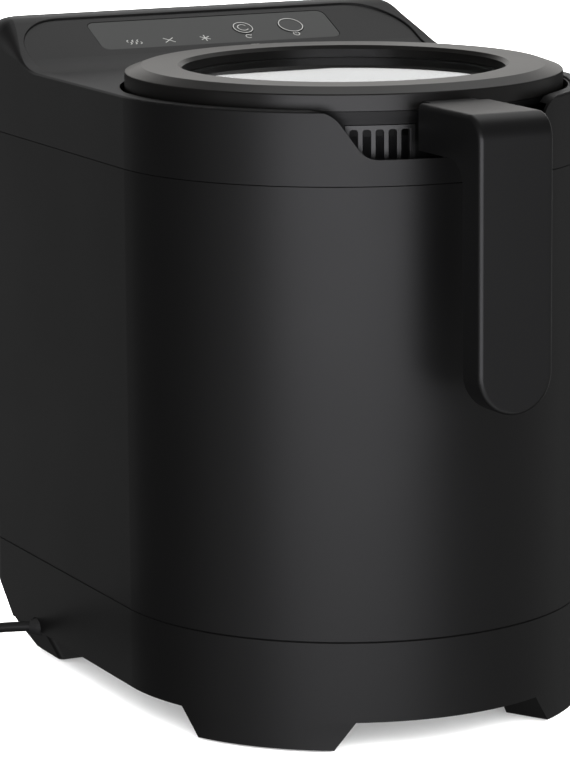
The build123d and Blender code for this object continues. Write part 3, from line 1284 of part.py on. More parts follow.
def fan_wheel():
    """Hub with pitched blades."""
    y0 = FAN_FRONT + 2.0
    y1 = FAN_FRONT + FAN_T - 1.75 * FAN_STRUT_T
    wheel = along_y(y0, y1, FAN_HUB_R)
    middle = (y0 + y1) / 2
    for n in range(FAN_BLADES):
        blade = Pos(0, 0, (FAN_HUB_R + FAN_TIP_R) / 2 - 1)
        blade *= Rot(0, 0, 40) * Box(FAN_BLADE_W, FAN_BLADE_T, FAN_TIP_R - FAN_HUB_R)
        blade = Rot(0, 360 / FAN_BLADES * n, 0) * blade
        wheel += Pos(0, middle, PORT_Z) * blade
    return wheel - along_y(y0 + 1.5, y1 + 1, FAN_PIN_R + RUN_FIT)


def exhaust_duct():
    """Flaring duct from the cup's port to the fan."""
    start = CUP_R - 8
    end = FAN_FRONT - 0.1
    outer = Pos(0, start, PORT_Z) * Rot(-90, 0, 0) * Cone(DUCT_R, FAN_HOLE_R, end - start, align=LOW)
    inner = Pos(0, start - 0.01, PORT_Z) * Rot(-90, 0, 0)
    inner *= Cone(DUCT_R - DUCT_T, FAN_HOLE_R - DUCT_T, end - start + 0.02, align=LOW)
    return outer - inner - rod(0, 0, 0, RIDGE_Z, CUP_R + SHEET_T + HEATER_GAP)


def filter_box():
    """Open-backed box behind the casing's rear opening."""
    height = FILTER_Z[1] - FILTER_Z[0]
    middle = FILTER_BOX_FRONT + FILTER_BOX_DEPTH / 2
    outer = Pos(0, middle, FILTER_Z[0] - FILTER_BOX_T)
    outer *= Box(2 * (FILTER_HALF + FILTER_BOX_T), FILTER_BOX_DEPTH, height + 2 * FILTER_BOX_T, align=LOW)
    inner = Box(2 * FILTER_HALF, FILTER_BOX_DEPTH, height, align=LOW)
    inner = Pos(0, middle + FILTER_BOX_T, FILTER_Z[0]) * inner
    return outer - inner - along_y(FILTER_BOX_FRONT - 1, FILTER_BOX_FRONT + 5, FAN_HOLE_R)


def filter_cover():
    """Louvred rear cover with a finger pull."""
    half = FILTER_HALF - FILTER_COVER_GAP
    low = FILTER_Z[0] + FILTER_COVER_GAP
    high = FILTER_Z[1] - FILTER_COVER_GAP
    face = Pos(0, (low + high) / 2) * RectangleRounded(2 * half, high - low, CARTRIDGE_CHAMFER)
    cover = Pos(0, BODY_BACK, 0) * extrude(Plane.XZ * face, FILTER_COVER_T)
    for n in range(LOUVRES):
        z = low + LOUVRE_FIRST + n * LOUVRE_PITCH
        cover -= Pos(0, BODY_BACK, z) * Rot(35, 0, 0) * Box(1.6 * half, 5 * FILTER_COVER_T, LOUVRE_W)
    length, radius = PULL
    z = high - PULL_DROP
    depth = radius + PULL_WALL - 1.5
    cover += Pos(0, BODY_BACK - depth / 2, z) * Box(length + 2, depth, 2 * (radius + 1.5))
    return cover - Pos(0, BODY_BACK + 1.5, z) * Rot(0, 90, 0) * Cylinder(radius, length)


def filter_cartridges():
    """Two carbon packs clipped to the cover."""
    low = FILTER_Z[0] + 4
    high = FILTER_Z[1] - 20
    back = BODY_BACK - FILTER_COVER_T - 0.1
    pack = Pos(0.5 - FILTER_HALF / 2, back - CARTRIDGE_T / 2, low)
    pack *= Box(0.9 * FILTER_HALF, CARTRIDGE_T, high - low, align=LOW)
    pack = chamfer(pack.edges().filter_by(Axis.Y), CARTRIDGE_CHAMFER)
    return mirrored(pack)


# ---------------------------------------------------------------- power board
def power_board():
    """Mains circuit board on the base plate."""
    board = Pos(0, POWER_BOARD_Y, POWER_BOARD_Z) * Box(*POWER_BOARD, BOARD_T, align=LOW)
    for x, y in board_corners():
        board -= rod(x, y, POWER_BOARD_Z - 1, POWER_BOARD_Z + 3, SCREW_HOLE_R)
    return board


def power_parts():
    """Transformer, capacitors, relay and heat sink on the power board."""
    z = POWER_BOARD_Z + BOARD_T
    y = POWER_BOARD_Y
    transformer = Pos(TRANSFORMER_X, y, z) * Box(*TRANSFORMER, align=LOW)
    relay = Pos(SINK_X, y - PARTS_Y, z) * Box(*RELAY, align=LOW)
    sink = Pos(SINK_X, y + PARTS_Y, z) * Box(*SINK, align=LOW)
    pitch = (SINK[0] - SINK_FIN[0]) / (SINK_FINS - 1)
    for n in range(SINK_FINS):
        x = SINK_X + (n - (SINK_FINS - 1) / 2) * pitch
        sink += Pos(x, y + PARTS_Y + SINK[1], z) * Box(*SINK_FIN, SINK[2], align=LOW)
    radius, height = CAPACITOR
    caps = [rod(CAPACITOR_X, y + s * (PARTS_Y - 1), z, z + height, radius) for s in (-1, 1)]
    return [transformer, relay, sink] + caps


# ---------------------------------------------------------------- mains cord
def strain_relief():
    """Tapered bush that holds the cord in the skirt."""
    outline = Polygon(
        (0, -RELIEF_IN), (RELIEF_R, -RELIEF_IN), (RELIEF_R, -1), (CORD_R + 1.2, RELIEF_OUT), (0, RELIEF_OUT),
        align=None)
    return outlet_frame() * revolve(Plane.XZ * outline, Axis.Z)


def cord_start():
    """Point where the cord leaves its strain relief."""
    return outlet_frame().from_local_coords(Vector(0, 0, RELIEF_OUT + 0.3))


def tube(name, points):
    """Round cord along straight runs joined by the largest tangent arcs that they allow."""
    points = [Vector(*p) for p in points]
    radii = []
    for a, b, c in zip(points, points[1:], points[2:]):
        turn = math.radians((b - a).get_angle(c - b))
        radii.append(0.45 * min((b - a).length, (c - b).length) / math.tan(turn / 2))
    print(name, "bend radii", [round(r, 1) for r in radii])
    path = FilletPolyline(*points, radius=radii)
    section = Plane(origin=path @ 0, z_dir=path % 0) * Circle(CORD_R)
    solid = sweep(section, path)
    drawn = math.pi * CORD_R ** 2 * path.length
    print(name, "volume", round(solid.volume, 1), "section x length", round(drawn, 1))
    print(name, "length", round(path.length, 1))
    return solid


# The cord's route from the skirt's outlet: steps outwards and backwards from it, and the height.
CORD_ROUTE = ((17.5, 13.6, 16.9), (33.0, 26.5, 12.2), (50.0, 40.5, 6.0), (70.0, 53.0, CORD_REST))
COIL_CENTRE = (77.0, 9.0)
COIL_IN = (94.0, 44.0)
COIL_TOP = 11.6
PLUG_ROUTE = ((113.5, 9.0, 8.5), (115.5, -7.0, 7.0), (117.0, -23.0, 5.5), (119.0, -38.0, 5.6))
PLUG_T = 10.5
PLUG_W = 30.0
PLUG_L = 36.0
PIN_R = 2.0
PIN_L = 19.0
PIN_PITCH = 19.0


def routed(out, back, *height):
    """Point of the cord's route."""
    return (CORD_EXIT[0] - out, CORD_EXIT[1] + back, *height)


def mains_cord():
    """Cord from the skirt to the coil."""
    start = cord_start()
    points = [(start.X, start.Y, start.Z)] + [routed(*step) for step in CORD_ROUTE]
    points += [routed(*COIL_IN, CORD_REST)]
    return tube("mains_cord", points)


def cord_coil(*leads):
    """Outer shape of the put-away coil, clear of the cords that lead into it."""
    out = max(COIL_TURNS) + CORD_R
    inside = min(COIL_TURNS) - CORD_R
    ring = turned((inside, 0.05), (inside, COIL_TOP), (out - 2, COIL_TOP), (out, COIL_TOP / 2), (out, 0.05))
    coil = Pos(*routed(*COIL_CENTRE), 0) * ring
    for lead in leads:
        coil -= lead
    return coil.solids().sort_by(SortBy.VOLUME)[-1]


def plug_lead():
    """Cord from the coil to the plug."""
    return tube("plug_lead", [routed(*step) for step in PLUG_ROUTE])


def mains_plug():
    """Moulded two-pin plug lying on the floor."""
    a = Vector(*routed(*PLUG_ROUTE[-2]))
    b = Vector(*routed(*PLUG_ROUTE[-1]))
    along = Vector(b.X - a.X, b.Y - a.Y, 0).normalized()
    frame = Plane(origin=b + along * 0.4, x_dir=(0, 0, 1), z_dir=along)
    body = frame * loft([
        Circle(CORD_R + 0.6).face(),
        (Pos(0, 0, 0.4 * PLUG_L) * Rectangle(PLUG_T, 0.4 * PLUG_W)).face(),
        (Pos(0, 0, 0.72 * PLUG_L) * Rectangle(PLUG_T, 0.93 * PLUG_W)).face(),
        (Pos(0, 0, PLUG_L) * Rectangle(PLUG_T, PLUG_W)).face()], ruled=True)
    for side in (-1, 1):
        body += frame * Pos(0, side * PIN_PITCH / 2, PLUG_L) * Cylinder(PIN_R, PIN_L, align=LOW)
    return body


# ---------------------------------------------------------------- write every node
def main():
    """Build and write all nodes."""
    os.makedirs("parts", exist_ok=True)
    export("base_skirt", base_skirt())
    export("foot_pads", *foot_pads())
    export("base_plate", base_plate())
    export("main_housing", main_housing())
    export("top_housing", top_housing())
    export("case_screws", *case_screws())
    export("control_overlay", control_overlay())
    for name, x, radius in keys():
        export(f"{name}_key", key(x, radius))
    export("control_board", control_board())
    export("board_spacers", *board_spacers())
    export("tact_switches", *tact_switches())
    export("stage_leds", *stage_leds())
    export("well_deck", well_deck())
    export("well_cup", well_cup())
    export("heater_band", heater_band())
    export("bucket_pot", bucket_pot())
    export("fixed_blades", *fixed_blades())
    export("bucket_collar", bucket_collar())
    export("vent_grilles", *mirrored(vent_grille()))
    export("handle_shell", handle_shell())
    export("handle_cover", handle_cover())
    export("handle_screws", *handle_screws())
    export("lid_ring", lid_ring())
    export("lid_mark", lid_mark())
    export("lid_glass", lid_glass())
    export("lid_retainer", lid_retainer())
    export("lid_screws", *lid_screws())
    export("lid_gasket", lid_gasket())
    export("rotor", rotor())
    export("rotor_shaft", rotor_shaft())
    export("rotor_bush", rotor_bush())
    export("shaft_seal", shaft_seal())
    export("driven_coupler", driven_coupler())
    export("drive_coupler", drive_coupler())
    export("output_shaft", output_shaft())
    export("output_gear", output_gear())
    export("output_bearings", *output_bearings())
    export("idler_gear", idler_gear())
    export("idler_pin", idler_pin())
    export("motor_pinion", motor_pinion())
    export("motor_shaft", motor_shaft())
    export("motor_can", motor_can())
    export("gear_case", gear_case())
    export("gear_cover", gear_cover())
    export("gearbox_screws", *gearbox_screws())
    export("exhaust_duct", exhaust_duct())
    export("fan_frame", fan_frame())
    export("fan_pin", fan_pin())
    export("fan_wheel", fan_wheel())
    export("filter_box", filter_box())
    export("filter_cover", filter_cover())
    export("filter_cartridges", *filter_cartridges())
    export("power_board", power_board())
    export("power_parts", *power_parts())
    export("strain_relief", strain_relief())
    export("mains_cord", mains_cord())
    export("plug_lead", plug_lead())
    export("cord_coil", cord_coil(mains_cord(), plug_lead()))
    export("mains_plug", mains_plug())


main()
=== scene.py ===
"""Electric food waste composter: finishes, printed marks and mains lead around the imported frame.

The frame's bodies carry every piece. Each class below is one sub-assembly or one family of finishes.
Lengths are metres and +Z is up; the carrying handle faces -Y.
"""
import logging
import math
from dataclasses import dataclass
from enum import Enum
from typing import Callable

import bmesh
import bpy
from mathutils import Matrix, Vector


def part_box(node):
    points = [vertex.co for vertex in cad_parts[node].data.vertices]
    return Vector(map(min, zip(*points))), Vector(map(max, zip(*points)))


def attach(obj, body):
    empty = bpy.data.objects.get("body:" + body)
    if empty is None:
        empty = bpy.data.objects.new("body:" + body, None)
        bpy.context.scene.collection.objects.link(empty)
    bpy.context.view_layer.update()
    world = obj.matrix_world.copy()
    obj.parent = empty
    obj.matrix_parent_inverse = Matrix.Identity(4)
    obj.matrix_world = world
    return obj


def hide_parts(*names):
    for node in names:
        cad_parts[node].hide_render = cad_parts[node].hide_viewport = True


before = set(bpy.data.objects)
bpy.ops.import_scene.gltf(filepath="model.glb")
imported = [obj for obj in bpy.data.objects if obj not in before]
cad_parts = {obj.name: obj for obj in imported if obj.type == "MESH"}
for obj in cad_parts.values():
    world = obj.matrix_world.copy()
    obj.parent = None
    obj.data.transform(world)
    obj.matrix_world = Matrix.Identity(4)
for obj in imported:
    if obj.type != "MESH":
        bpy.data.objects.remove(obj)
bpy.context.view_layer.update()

log = logging.getLogger("composter")
MM = 0.001
WHITE = (1.0, 1.0, 1.0, 1.0)
RELIEF_INPUTS = {"Scale": 1800.0, "Roughness": 0.4, "Spread": 0.06}
RELIEF_OUTPUTS = ("Height", "Roughness")
FILM_INPUTS = {"Scale": 22.0, "Amount": 0.5}
Feed = float | bpy.types.NodeSocket  # a number, or the socket that gives it


# ---------------------------------------------------------------- shared effects
def new_group(name: str, inputs: dict[str, float], outputs: tuple[str, ...]) -> bpy.types.NodeTree:
    """Make an empty shader node group with float inputs and outputs.

    Args:
        name: Name of the group.
        inputs: Names of its inputs, with their default values.
        outputs: Names of its outputs.

    Returns:
        The group's node tree, with its input and output nodes named "in" and "out".
    """
    tree = bpy.data.node_groups.new(name, "ShaderNodeTree")
    for label, value in inputs.items():
        socket = tree.interface.new_socket(label, in_out="INPUT", socket_type="NodeSocketFloat")
        socket.default_value = value
    for label in outputs:
        tree.interface.new_socket(label, in_out="OUTPUT", socket_type="NodeSocketFloat")
    tree.nodes.new("NodeGroupInput").name = "in"
    tree.nodes.new("NodeGroupOutput").name = "out"
    return tree


def feed(tree: bpy.types.NodeTree, socket: bpy.types.NodeSocket, value: Feed) -> None:
    """Set an input to a number, or link it to a socket.

    Args:
        tree: The node tree that holds both.
        socket: The input.
        value: The number or the socket.
    """
    if isinstance(value, bpy.types.NodeSocket):
        tree.links.new(value, socket)
    else:
        socket.default_value = value


def math_node(tree: bpy.types.NodeTree, operation: str, first: Feed, second: Feed) -> bpy.types.NodeSocket:
    """Add a Math node.

    Args:
        tree: The node tree that takes the node.
        operation: Blender's name of the operation.
        first: The first operand.
        second: The second operand.

    Returns:
        The node's output socket.
    """
    node = tree.nodes.new("ShaderNodeMath")
    node.operation = operation
    feed(tree, node.inputs[0], first)
    feed(tree, node.inputs[1], second)
    return node.outputs[0]


def object_noise(tree: bpy.types.NodeTree, scale: Feed, detail: float,
                 stretch: tuple[float, float, float] = (1.0, 1.0, 1.0)) -> bpy.types.NodeSocket:
    """Add noise on Object coordinates.

    Args:
        tree: The node tree that takes the nodes.
        scale: Cells per metre.
        detail: Octaves of finer noise.
        stretch: Scale along each axis.

    Returns:
        The noise's value socket, from 0 to 1.
    """
    place = tree.nodes.new("ShaderNodeTexCoord")
    mapping = tree.nodes.new("ShaderNodeMapping")
    mapping.inputs["Scale"].default_value = stretch
    noise = tree.nodes.new("ShaderNodeTexNoise")
    noise.inputs["Detail"].default_value = detail
    tree.links.new(place.outputs["Object"], mapping.inputs["Vector"])
    tree.links.new(mapping.outputs["Vector"], noise.inputs["Vector"])
    feed(tree, noise.inputs["Scale"], scale)
    return noise.outputs["Fac"]


@dataclass
class Effects:
    """Shader node groups that several finishes share.

    Each finish sets the scale, roughness and spread of its relief, and the amount of its film.

    Args:
        grain_detail: Octaves of a mould's grain.
        patch_scale: Cells per metre of the patches of more and less gloss.
        patch_detail: Octaves of the patches.
        line_detail: Octaves of the scratches.
        line_stretch: Scale of the scratches along each axis.
        film_detail: Octaves of the handled film.
        film_edges: Values of the noise at which the film begins and is full.
    """

    grain_detail: float = 3.0
    patch_scale: float = 14.0
    patch_detail: float = 2.0
    line_detail: float = 2.0
    line_stretch: tuple[float, float, float] = (1.0, 1.0, 0.04)
    film_detail: float = 4.0
    film_edges: tuple[float, float] = (0.45, 0.75)

    def __post_init__(self) -> None:
        """Build each group once."""
        self.grain = self._grain()
        self.brushed = self._brushed()
        self.handled = self._handled()

    def _grain(self) -> bpy.types.NodeTree:
        """Build the fine spark-eroded grain of a mould, with patches of more and less gloss.

        Returns:
            The group's node tree.
        """
        tree = new_group("MouldGrain", RELIEF_INPUTS, RELIEF_OUTPUTS)
        fine = object_noise(tree, tree.nodes["in"].outputs["Scale"], self.grain_detail)
        patches = object_noise(tree, self.patch_scale, self.patch_detail)
        self._put_out_relief(tree, fine, patches)
        return tree

    def _brushed(self) -> bpy.types.NodeTree:
        """Build long fine scratches, which change the gloss as well.

        Returns:
            The group's node tree.
        """
        tree = new_group("BrushedLines", RELIEF_INPUTS, RELIEF_OUTPUTS)
        scale = tree.nodes["in"].outputs["Scale"]
        lines = object_noise(tree, scale, self.line_detail, self.line_stretch)
        self._put_out_relief(tree, lines, lines)
        return tree

    def _put_out_relief(self, tree: bpy.types.NodeTree, height: bpy.types.NodeSocket,
                        gloss: bpy.types.NodeSocket) -> None:
        """Put out a height, and a roughness that wanders about its middle.

        Args:
            tree: The group's node tree.
            height: Noise that gives the height.
            gloss: Noise that the roughness wanders with.
        """
        source, sink = tree.nodes["in"], tree.nodes["out"]
        wave = math_node(tree, "SUBTRACT", gloss, 0.5)
        wave = math_node(tree, "MULTIPLY", wave, source.outputs["Spread"])
        rough = math_node(tree, "ADD", source.outputs["Roughness"], wave)
        tree.links.new(height, sink.inputs["Height"])
        tree.links.new(rough, sink.inputs["Roughness"])

    def _handled(self) -> bpy.types.NodeTree:
        """Build a faint cloudy film where hands and cloths have been, from 0 to 1.

        Returns:
            The group's node tree.
        """
        tree = new_group("HandledFilm", FILM_INPUTS, ("Film",))
        source, sink = tree.nodes["in"], tree.nodes["out"]
        cloud = object_noise(tree, source.outputs["Scale"], self.film_detail)
        ramp = tree.nodes.new("ShaderNodeMapRange")
        ramp.inputs["From Min"].default_value, ramp.inputs["From Max"].default_value = self.film_edges
        tree.links.new(cloud, ramp.inputs["Value"])
        film = math_node(tree, "MULTIPLY", ramp.outputs["Result"], source.outputs["Amount"])
        tree.links.new(film, sink.inputs["Film"])
        return tree


class Surface(Enum):
    """Kinds of surface relief."""

    MOULDED = "moulded"
    BRUSHED = "brushed"


@dataclass(frozen=True)
class Finish:
    """One finish: colour, gloss and relief.

    Args:
        name: Name of the material.
        slot: Slot of the record for this finish; not used.
        colour: Linear base colour.
        film_colour: Linear colour under a full handled film.
        roughness: Middle roughness.
        spread: How far the roughness wanders.
        metallic: 1 for metal.
        specular: Specular level.
        transmission: 1 for clear glass.
        refraction: Index of refraction.
        relief: Kind of surface relief.
        grain: Cells of the relief per metre.
        depth: Height of the relief.
        film: Strength of the handled film.
    """

    name: str
    slot: str
    colour: tuple[float, float, float]
    film_colour: tuple[float, float, float] | None = None
    roughness: float = 0.4
    spread: float = 0.06
    metallic: float = 0.0
    specular: float = 0.5
    transmission: float = 0.0
    refraction: float = 1.5
    relief: Surface = Surface.MOULDED
    grain: float = 1800.0
    depth: float = 0.00002
    film: float = 0.4

    def material(self, effects: Effects) -> bpy.types.Material:
        """Build the material.

        Args:
            effects: The shared node groups.

        Returns:
            The new material.
        """
        material = bpy.data.materials.new(self.name)
        material.use_nodes = True
        tree = material.node_tree
        shader = tree.nodes["Principled BSDF"]
        shader.inputs["Metallic"].default_value = self.metallic
        shader.inputs["Specular IOR Level"].default_value = self.specular
        shader.inputs["Transmission Weight"].default_value = self.transmission
        shader.inputs["IOR"].default_value = self.refraction
        shader.inputs["Base Color"].default_value = (*self.colour, 1.0)
        self._add_relief(tree, effects)
        if self.film_colour is not None:
            self._add_film(tree, effects)
        return material

    def _add_relief(self, tree: bpy.types.NodeTree, effects: Effects) -> None:
        """Give the shader its wandering roughness and its bumps.

        Args:
            tree: The material's node tree.
            effects: The shared node groups.
        """
        shader = tree.nodes["Principled BSDF"]
        relief = tree.nodes.new("ShaderNodeGroup")
        relief.node_tree = effects.brushed if self.relief is Surface.BRUSHED else effects.grain
        relief.inputs["Scale"].default_value = self.grain
        relief.inputs["Roughness"].default_value = self.roughness
        relief.inputs["Spread"].default_value = self.spread
        tree.links.new(relief.outputs["Roughness"], shader.inputs["Roughness"])
        if self.depth > 0.0:
            bump = tree.nodes.new("ShaderNodeBump")
            bump.inputs["Distance"].default_value = self.depth
            bump.inputs["Strength"].default_value = 1.0
            tree.links.new(relief.outputs["Height"], bump.inputs["Height"])
            tree.links.new(bump.outputs["Normal"], shader.inputs["Normal"])

    def _add_film(self, tree: bpy.types.NodeTree, effects: Effects) -> None:
        """Let the colour change under the handled film.

        Args:
            tree: The material's node tree.
            effects: The shared node groups.
        """
        film = tree.nodes.new("ShaderNodeGroup")
        film.node_tree = effects.handled
        film.inputs["Amount"].default_value = self.film
        mix = tree.nodes.new("ShaderNodeMix")
        mix.data_type = "RGBA"
        mix.inputs["A"].default_value = (*self.colour, 1.0)
        mix.inputs["B"].default_value = (*self.film_colour, 1.0)
        tree.links.new(film.outputs["Film"], mix.inputs["Factor"])
        tree.links.new(mix.outputs["Result"], tree.nodes["Principled BSDF"].inputs["Base Color"])


CASING = Finish("casing_grey_satin", "casing_grey", (0.0036, 0.0035, 0.0035), (0.0044, 0.0043, 0.0043), 0.44,
                film=0.5)
COLLAR = Finish("collar_satin", "collar_black", (0.0036, 0.0036, 0.0036), (0.0044, 0.0044, 0.0044), 0.40,
                specular=0.26)
# The grille is the collar's black plastic. Its lighter base colour is a painted highlight on the grille
# frame; its gloss is real.
GRILLE_PAINTED_HIGHLIGHT = Finish("grille_satin_painted_highlight", "collar_black", (0.010, 0.010, 0.010), (0.013, 0.013, 0.013), 0.30,
                specular=0.6)
HANDLE = Finish("handle_satin", "handle_black", (0.0055, 0.0055, 0.0055), (0.0068, 0.0068, 0.0067), 0.40,
                specular=0.58)
LID = Finish("lid_rim_satin", "lid_rim", (0.0085, 0.0080, 0.0074), (0.0095, 0.0090, 0.0084), 0.34, 0.04,
             specular=0.46)
PANEL = Finish("panel_print_ground", "panel_grey", (0.028, 0.029, 0.028), (0.032, 0.033, 0.032), 0.34, 0.03,
               depth=0.000006)
INK = Finish("panel_ink", "led_white", (0.55, 0.55, 0.53), None, 0.5)
GLASS = Finish("lid_glass_clear", "clear_glass", (0.93, 0.96, 0.95), None, 0.015, 0.01, transmission=1.0,
               depth=0.0)
RUBBER = Finish("soft_rubber_black", "soft_rubber", (0.018, 0.018, 0.018), (0.03, 0.03, 0.03), 0.7,
                grain=2600.0)
CORD = Finish("cord_sheath", "cord_black", (0.012, 0.012, 0.012), (0.017, 0.017, 0.017), 0.45, grain=2200.0)
NYLON = Finish("natural_nylon", "white_nylon", (0.70, 0.68, 0.62), (0.62, 0.60, 0.55), 0.45)
LINER = Finish("liner_black", "black_liner", (0.012, 0.012, 0.0125), (0.017, 0.017, 0.018), 0.55)
POT = Finish("pot_coated_cast", "cast_pot", (0.034, 0.034, 0.036), (0.046, 0.046, 0.047), 0.5, 0.12,
             specular=0.2, grain=1200.0, depth=0.00006)
STEEL = Finish("bright_steel", "bare_steel", (0.62, 0.61, 0.60), (0.55, 0.55, 0.55), 0.28, 0.15, metallic=1.0,
               relief=Surface.BRUSHED, depth=0.000008)
BLADES = Finish("stirrer_steel", "steel_blades", (0.56, 0.56, 0.56), (0.45, 0.45, 0.45), 0.36, 0.2,
                metallic=1.0, relief=Surface.BRUSHED, grain=700.0)
BRONZE = Finish("sintered_bronze", "bronze", (0.46, 0.28, 0.12), (0.36, 0.22, 0.10), 0.42, metallic=1.0,
                grain=2400.0)
BOARD = Finish("circuit_board", "board_green", (0.02, 0.12, 0.045), (0.03, 0.14, 0.06), 0.32)
PARTS = Finish("component_housing", "parts_dark", (0.035, 0.035, 0.042), (0.05, 0.05, 0.055), 0.4)
LAMP = Finish("lamp_lens", "led_white", (0.7, 0.7, 0.66), None, 0.3)
CARBON = Finish("carbon_pack", "carbon_filter", (0.018, 0.018, 0.02), (0.05, 0.05, 0.05), 0.9, 0.1,
                grain=900.0, depth=0.0006, film=0.8)

NODE_FINISH: dict[Finish, tuple[str, ...]] = {
    CASING: ("base_skirt", "main_housing", "top_housing", "filter_cover"),
    COLLAR: ("bucket_collar",),
    GRILLE_PAINTED_HIGHLIGHT: ("vent_grilles",),
    HANDLE: ("handle_shell", "handle_cover"),
    LID: ("lid_ring",),
    PANEL: ("control_overlay", "power_key", "reset_key"),
    GLASS: ("lid_glass",),
    RUBBER: ("foot_pads", "strain_relief", "shaft_seal", "lid_gasket"),
    CORD: ("mains_plug",),
    NYLON: ("board_spacers", "gear_case", "gear_cover", "driven_coupler", "drive_coupler", "output_gear",
            "idler_gear"),
    LINER: ("base_plate", "well_deck", "exhaust_duct", "fan_frame", "fan_wheel", "filter_box",
            "lid_retainer"),
    POT: ("bucket_pot", "well_cup"),
    STEEL: ("case_screws", "gearbox_screws", "handle_screws", "lid_screws", "idler_pin", "fan_pin",
            "motor_can", "motor_shaft", "output_shaft", "rotor_shaft", "heater_band"),
    BLADES: ("rotor", "fixed_blades"),
    BRONZE: ("rotor_bush", "output_bearings", "motor_pinion"),
    BOARD: ("control_board", "power_board"),
    PARTS: ("tact_switches", "power_parts"),
    LAMP: ("stage_leds", "lid_mark"),
    CARBON: ("filter_cartridges",),
}


class Wardrobe:
    """Makes each material once and gives it to pieces and nodes."""

    def __init__(self) -> None:
        """Start with the shared effects and no materials."""
        self.effects = Effects()
        self.made: dict[str, bpy.types.Material] = {}

    def get(self, finish: Finish) -> bpy.types.Material:
        """Find a finish's material, and make it on first use.

        Args:
            finish: The finish.

        Returns:
            Its material.
        """
        if finish.name not in self.made:
            self.made[finish.name] = finish.material(self.effects)
        return self.made[finish.name]

    def dress(self, piece: bpy.types.Object, finish: Finish) -> None:
        """Give a piece or node one finish.

        Args:
            piece: The object.
            finish: Its finish.
        """
        material = self.get(finish)
        if not piece.material_slots:
            piece.data.materials.append(material)
        for slot in piece.material_slots:
            slot.link = "OBJECT"
            slot.material = material

    def dress_nodes(self) -> None:
        """Give every node of the frame its finish."""
        for finish, names in NODE_FINISH.items():
            for name in names:
                self.dress(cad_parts[name], finish)
                log.info("node %s: %s", name, finish.name)


# ---------------------------------------------------------------- camera and studio
@dataclass(frozen=True)
class StudioCamera:
    """The camera, by its place and its three angles.

    Args:
        place: Its place.
        yaw: Degrees from +Y towards +X.
        pitch: Degrees below the horizon.
        roll: Degrees about its own axis.
        lens: Focal length in millimetres.
        sensor: Long side of its frame in millimetres.
        reach: Distances of the nearest and the farthest thing that it sees.
    """

    place: tuple[float, float, float] = (-0.9277, -1.8580, 0.5790)
    yaw: float = 25.77
    pitch: float = 11.09
    roll: float = -0.456
    lens: float = 181.81
    sensor: float = 36.0
    reach: tuple[float, float] = (0.05, 60.0)

    def build(self) -> None:
        """Make the camera and set it as the scene's."""
        yaw, pitch, roll = (math.radians(angle) for angle in (self.yaw, self.pitch, self.roll))
        ahead = Vector((math.sin(yaw) * math.cos(pitch), math.cos(yaw) * math.cos(pitch), -math.sin(pitch)))
        right = Vector((math.cos(yaw), -math.sin(yaw), 0.0))
        up = right.cross(ahead)
        across = right * math.cos(roll) + up * math.sin(roll)
        top = up * math.cos(roll) - right * math.sin(roll)
        data = bpy.data.cameras.new("studio_camera")
        data.lens = self.lens
        data.sensor_width = self.sensor
        data.sensor_fit = "AUTO"
        data.clip_start, data.clip_end = self.reach
        camera = bpy.data.objects.new("studio_camera", data)
        turn = Matrix((across, top, -ahead)).transposed().to_4x4()
        camera.matrix_world = Matrix.Translation(self.place) @ turn
        bpy.context.scene.collection.objects.link(camera)
        bpy.context.scene.camera = camera


@dataclass(frozen=True)
class Panel:
    """One soft light panel.

    Args:
        name: Name of the light.
        azimuth: Degrees from the front (-Y) towards the left (-X) that it stands at.
        elevation: Degrees that it stands above the point that it aims at.
        distance: How far it stands from that point.
        size: Width and height.
        power: Watts.
        diffuse: Whether it lights matt surfaces, besides showing in reflections.
        tint: Colour of its light.
        receivers: The only nodes that it lights; everything where it is empty.
        aim: The point that it aims at, in the machine's middle.
    """

    name: str
    azimuth: float
    elevation: float
    distance: float
    size: tuple[float, float]
    power: float
    diffuse: bool = True
    tint: tuple[float, float, float] = (1.0, 1.0, 1.0)
    receivers: tuple[str, ...] = ()
    aim: tuple[float, float, float] = (0.0, 0.0, 0.2)

    def build(self) -> None:
        """Make the light, facing the point that it aims at."""
        data = bpy.data.lights.new(self.name, "AREA")
        data.shape = "RECTANGLE"
        data.size, data.size_y = self.size
        data.energy = self.power
        data.color = self.tint
        light = bpy.data.objects.new(self.name, data)
        around, up = math.radians(self.azimuth), math.radians(self.elevation)
        away = Vector((-math.sin(around) * math.cos(up), -math.cos(around) * math.cos(up), math.sin(up)))
        light.location = Vector(self.aim) + away * self.distance
        light.rotation_euler = away.to_track_quat("Z", "Y").to_euler()
        light.visible_camera = False
        light.visible_diffuse = self.diffuse
        if self.receivers:
            group = bpy.data.collections.new(f"{self.name}_receivers")
            for name in self.receivers:
                group.objects.link(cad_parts[name])
            light.light_linking.receiver_collection = group
        bpy.context.scene.collection.objects.link(light)


